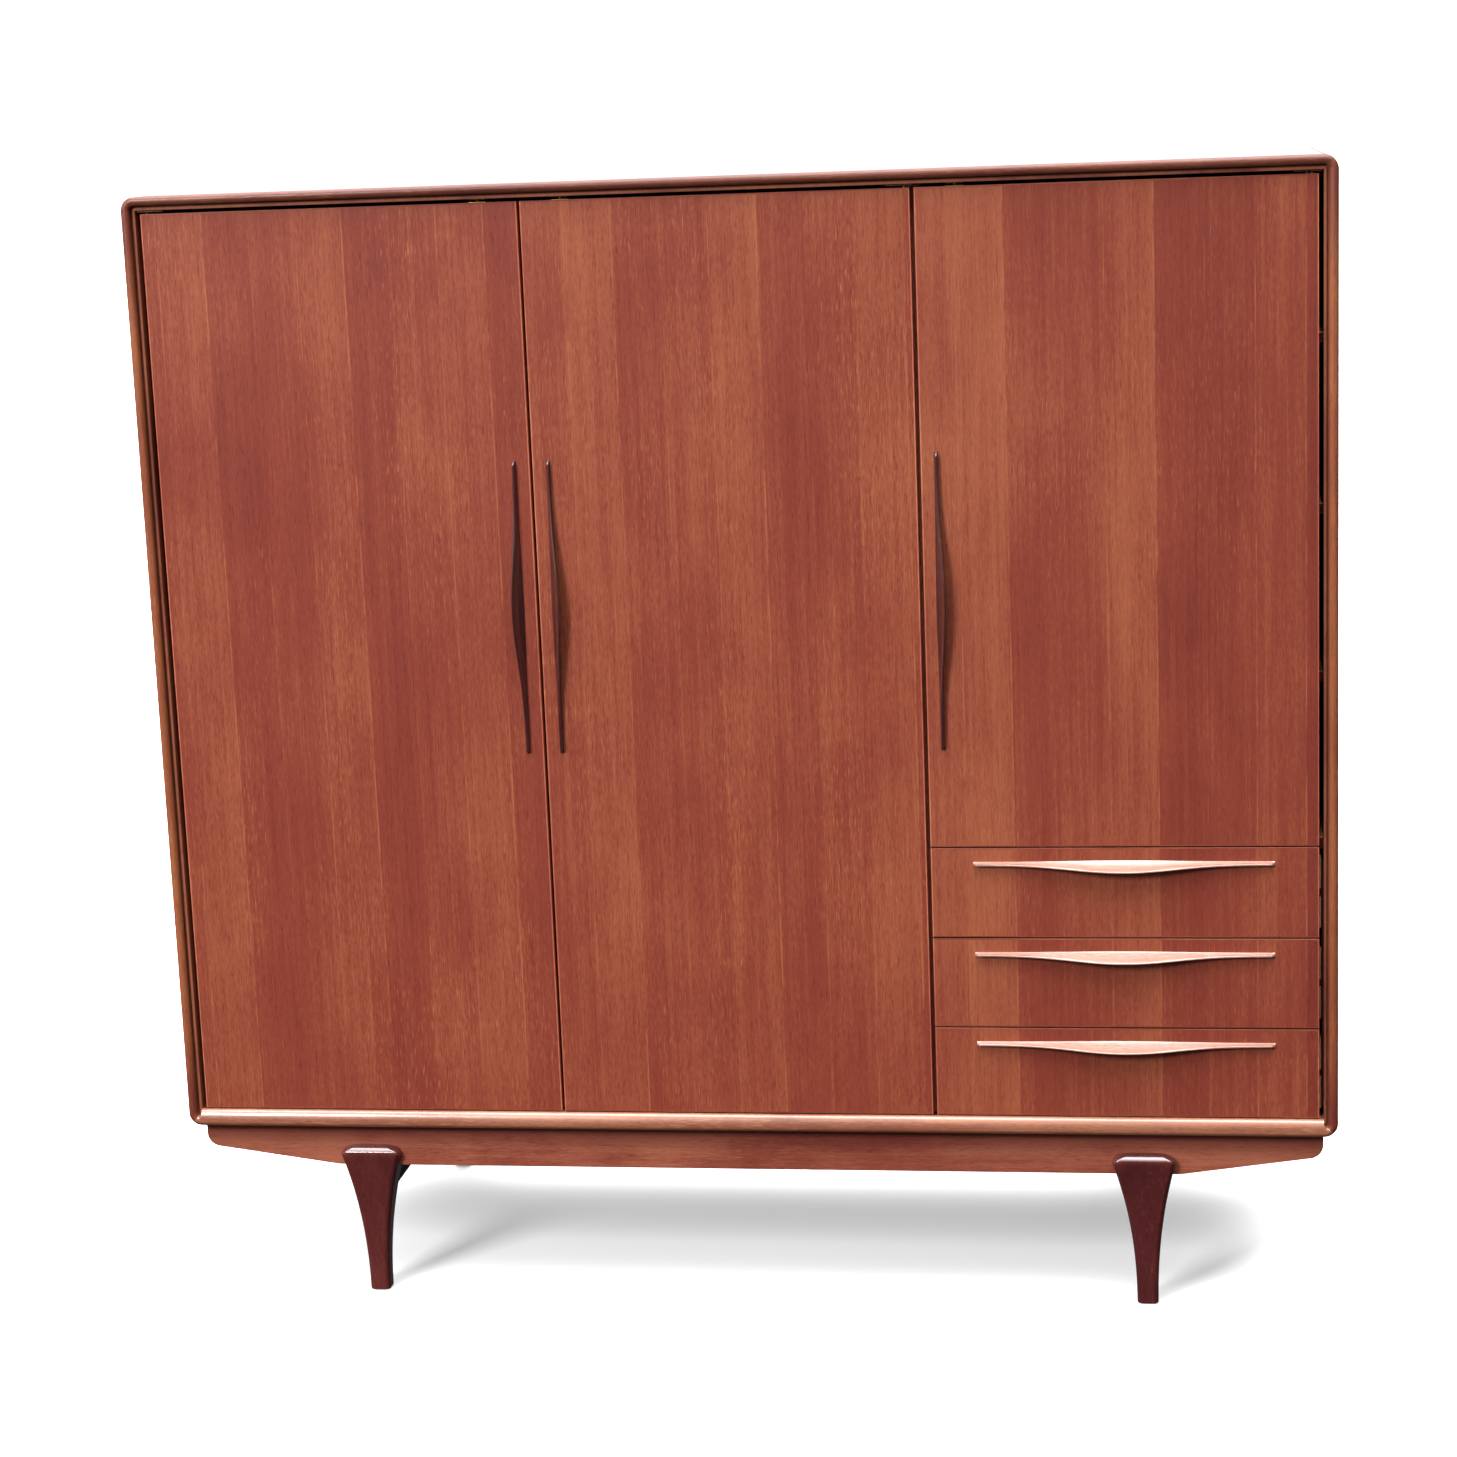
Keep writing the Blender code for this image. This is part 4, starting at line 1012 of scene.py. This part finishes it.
def build_pivots():
    """Bronze for the pivots, and screws through the plates of the upper ones."""
    for node_name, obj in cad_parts.items():
        if node_name.startswith("pivot_"):
            obj.data.materials.clear()
            obj.data.materials.append(bronze)
    for place, side in HINGE_SIDES:
        low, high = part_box(f"pivot_{place}_upper")
        pin_x = high.x - PLATE_END if side > 0 else low.x + PLATE_END
        y, z = (low.y + high.y) / 2, high.z - UPPER_PLATE
        bm = bmesh.new()
        for offset in PLATE_SCREWS:
            add_screw(bm, (pin_x - side * offset, y, z), (0, 0, -1), 0.0024, offset * 60)
        add_shape(f"{place}_pivot_screws", bm, bronze)


def build_back_screws():
    """A row of screws round the border of each back panel."""
    inset_x, inset_z = BACK_SCREW_INSET
    for side in ("left", "right"):
        low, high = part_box(f"back_panel_{side}")
        bm = bmesh.new()
        columns = max(2, round((high.x - low.x) / BACK_SCREW_PITCH))
        rows = max(2, round((high.z - low.z) / BACK_SCREW_PITCH))
        places = set()
        for i in range(columns + 1):
            x = low.x + inset_x + (high.x - low.x - 2 * inset_x) * i / columns
            places |= {(x, low.z + inset_z), (x, high.z - inset_z)}
        for i in range(1, rows):
            z = low.z + (high.z - low.z) * i / rows
            places |= {(low.x + inset_x, z), (high.x - inset_x, z)}
        for x, z in sorted(places):
            add_screw(bm, (x, high.y, z), (0, 1, 0), 0.0032, x * 7 + z * 5)
        add_shape(f"back_{side}_screws", bm, steel)


# ---- stand ----

def build_aprons():
    half = (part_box("apron_front")[1].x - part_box("apron_front")[0].x) / 2
    for place in ("front", "rear"):
        low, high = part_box(f"apron_{place}")
        side = [(half, high.z, 0.0006), (half, case_low - APRON_END_HEIGHT, APRON_END_ROUNDING),
                (APRON_KNEE, low.z, APRON_KNEE_ROUNDING)]
        corners = side + [(-x, z, radius) for x, z, radius in reversed(side)]
        add_shape(f"apron_{place}_board", outline(corners, low.y, high.y, 0.0012), stand_x,
                  replaces=[f"apron_{place}"])
    for side in ("left", "right"):
        block_piece(f"side_rail_{side}", f"side_rail_{side}_board", stand_y,
                    arris=EASED_ARRIS, steps=3)


def leg_section(z, x_middle, half_width, front, back, pull=0.0):
    """A rounded rectangle at height z; pull draws it in on every side."""
    points = []
    radius = LEG_ROUNDING - pull
    left, right = x_middle - half_width + LEG_ROUNDING, x_middle + half_width - LEG_ROUNDING
    near, far = front + LEG_ROUNDING, back - LEG_ROUNDING
    for i, (x, y) in enumerate(((right, far), (left, far), (left, near), (right, near))):
        for step in range(11):
            angle = pi / 2 * (i + step / 10)
            points.append(Vector((x + radius * cos(angle), y + radius * sin(angle), z)))
    return points


def leg_sections(side, inwards):
    """From the foot up to the arched head; depths are from the face of the case."""
    taper_top = case_low - LEG_TAPER_DROP
    arch = LEG_TAPER_DROP - LEG_TOP_DROP
    sections = []
    for step in range(49):
        rise = step / 48
        swell = rise ** LEG_CURVE
        front, back = between((LEG_FOOT_SETBACK, LEG_HEAD_SETBACK), swell), LEG_BACK
        if inwards < 0:
            front = REAR_LEG_SETBACK
            swept = min(1, rise / REAR_LEG_TAPER) ** LEG_CURVE
            back = between((REAR_LEG_FOOT_BACK, LEG_BACK), swept)
        half = between((LEG_FOOT, LEG_HEAD), swell) / 2
        place = (side * LEG_SPLAY * (1 - swell), half, front, back)
        if step == 0:
            for rounding in (0, 1, 2, 3):
                angle = pi / 6 * rounding
                pull = LEG_FOOT_ARRIS * (1 - sin(angle))
                z = GLIDE_HEIGHT + LEG_FOOT_ARRIS * (1 - cos(angle))
                sections.append(leg_section(z, *place, pull))
        else:
            sections.append(leg_section(rise * taper_top, *place))
    head_front = front
    for step in range(1, 25):
        angle = LEG_ARCH_END * step / 24
        share = cos(angle) ** (2 / LEG_ARCH_POWER)
        drop = arch * (1 - sin(angle))
        into = max(0, 1 - drop / LEG_HEAD_ROUNDING)
        eased = (1 - into ** LEG_HEAD_SOFTNESS) ** (1 / LEG_HEAD_SOFTNESS)
        front = head_front + LEG_HEAD_ROUNDING * (1 - eased)
        sections.append(leg_section(case_low - LEG_TOP_DROP - drop, 0, LEG_HEAD / 2 * share, front,
                                    LEG_BACK))
    return sections


def build_legs():
    for place, face, inwards in (("front", case_front, 1), ("rear", case_back, -1)):
        apron_low, apron_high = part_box(f"apron_{place}")
        for side, sign in OUTWARDS:
            x = sign * LEG_X
            bm = bmesh.new()
            add_loft(bm, [[Vector((x + point.x, face + inwards * point.y, point.z))
                           for point in section] for section in leg_sections(sign, inwards)])
            obj = add_shape(f"leg_{place}_{side}_shaped", bm, stand_z,
                            replaces=[f"leg_{place}_{side}"])
            slot = bmesh.new()
            add_block(slot, (x - LEG_HEAD, apron_low.y - GAP, apron_low.z - GAP),
                      (x + LEG_HEAD, apron_high.y + GAP, case_high), 0.0001, 1, 0.0001)
            cut(obj, slot)
            glide = bmesh.new()
            depth = (LEG_FOOT_SETBACK + LEG_BACK) / 2
            if inwards < 0:
                depth = (REAR_LEG_SETBACK + REAR_LEG_FOOT_BACK) / 2
            add_turned(glide, [(GLIDE_RADIUS * 0.8, 0), (GLIDE_RADIUS * 0.97, 0.0003),
                               (GLIDE_RADIUS, 0.0008), (GLIDE_RADIUS, GLIDE_HEIGHT + 0.0002)],
                       (x + sign * LEG_SPLAY, face + depth * inwards, 0), (0, 0, 1))
            add_shape(f"glide_{place}_{side}", glide, steel)


# ---- surroundings ----

def build_camera():
    data = bpy.data.cameras.new("Camera")
    data.lens = CAMERA_LENS
    data.sensor_width = CAMERA_SENSOR
    camera = add_object("Camera", data)
    camera.location = Vector((0, case_front, case_low)) + Vector(CAMERA_OFFSET)
    turn = Matrix.Rotation(CAMERA_YAW, 3, "Z")
    turn = turn @ Matrix.Rotation(pi / 2 - CAMERA_PITCH, 3, "X")
    turn = turn @ Matrix.Rotation(CAMERA_ROLL, 3, "Z")
    camera.rotation_euler = turn.to_euler()
    bpy.context.scene.camera = camera


def build_key_light():
    """One soft light from the upper left, in front."""
    data = bpy.data.lights.new("Key", "AREA")
    data.shape = "RECTANGLE"
    data.size, data.size_y = KEY_SIZE
    data.energy = KEY_POWER
    light = add_object("Key", data)
    light.location = KEY_PLACE
    aim = Vector(KEY_TARGET) - Vector(KEY_PLACE)
    light.rotation_euler = aim.to_track_quat("-Z", "Y").to_euler()


def build_floor():
    """A pale floor that is clear from underneath."""
    bm = bmesh.new()
    bmesh.ops.create_grid(bm, x_segments=8, y_segments=8, size=FLOOR_SIZE)
    mesh = bpy.data.meshes.new("floor")
    bm.to_mesh(mesh)
    bm.free()
    floor = add_object("floor", mesh)
    material, tree, shader, place = new_material("Floor_paint", 0.8, 0.0, 0.2)
    mottle = noise(tree, place, (0.7, 0.7, 0.7), 3.0)
    paint = ramp(tree, mottle, ((0.3, (0.80, 0.80, 0.805)), (0.7, (0.84, 0.84, 0.84))))
    tree.links.new(paint, shader.inputs["Base Color"])
    tree.links.new(paint, shader.inputs["Emission Color"])
    shader.inputs["Emission Strength"].default_value = FLOOR_GLOW
    underside = node(tree, "ShaderNodeNewGeometry").outputs["Backfacing"]
    clear = node(tree, "ShaderNodeBsdfTransparent").outputs[0]
    sheet = node(tree, "ShaderNodeMixShader", {0: underside, 1: shader.outputs[0], 2: clear})
    tree.links.new(sheet.outputs[0], tree.nodes["Material Output"].inputs["Surface"])
    mesh.materials.append(material)
    floor.visible_diffuse = False
    floor.visible_glossy = False


def build_sky():
    """White all round the horizon, dark below it and on the right, and brightest overhead."""
    world = bpy.data.worlds.new("Studio")
    bpy.context.scene.world = world
    world.use_nodes = True
    tree = world.node_tree
    direction = node(tree, "ShaderNodeTexCoord").outputs["Generated"]
    split = node(tree, "ShaderNodeSeparateXYZ", {0: direction})
    height = calc(tree, "MULTIPLY_ADD", split.outputs["Z"], 0.5, 0.5)
    sky = ramp(tree, height, SKY)
    flag = spread(tree, split.outputs["X"], 0.35, 0.85, 1.0, SKY_FLAG)
    front = spread(tree, split.outputs["Y"], -0.6, 0.2, SKY_FRONT, 1.0)
    overhead = spread(tree, height, 0.8, 0.92)
    share = calc(tree, "MULTIPLY", flag, calc(tree, "MAXIMUM", front, overhead))
    glow = calc(tree, "MULTIPLY", calc(tree, "MULTIPLY", share, SKY_STRENGTH), sky)
    seen = node(tree, "ShaderNodeLightPath").outputs["Is Camera Ray"]
    background = tree.nodes["Background"]
    background.inputs["Color"].default_value = (1, 1, 1, 1)
    tree.links.new(mix_values(tree, seen, glow, BACKDROP), background.inputs["Strength"])


build_camera()
build_floor()
build_sky()
build_key_light()
bpy.context.scene.view_settings.view_transform = "Standard"

build_case()
build_frame()
build_shade_strips()
build_doors()
build_drawers()
build_runners()
build_shelves()
build_rail()
build_catches()
build_pivots()
build_back_screws()
build_aprons()
build_legs()
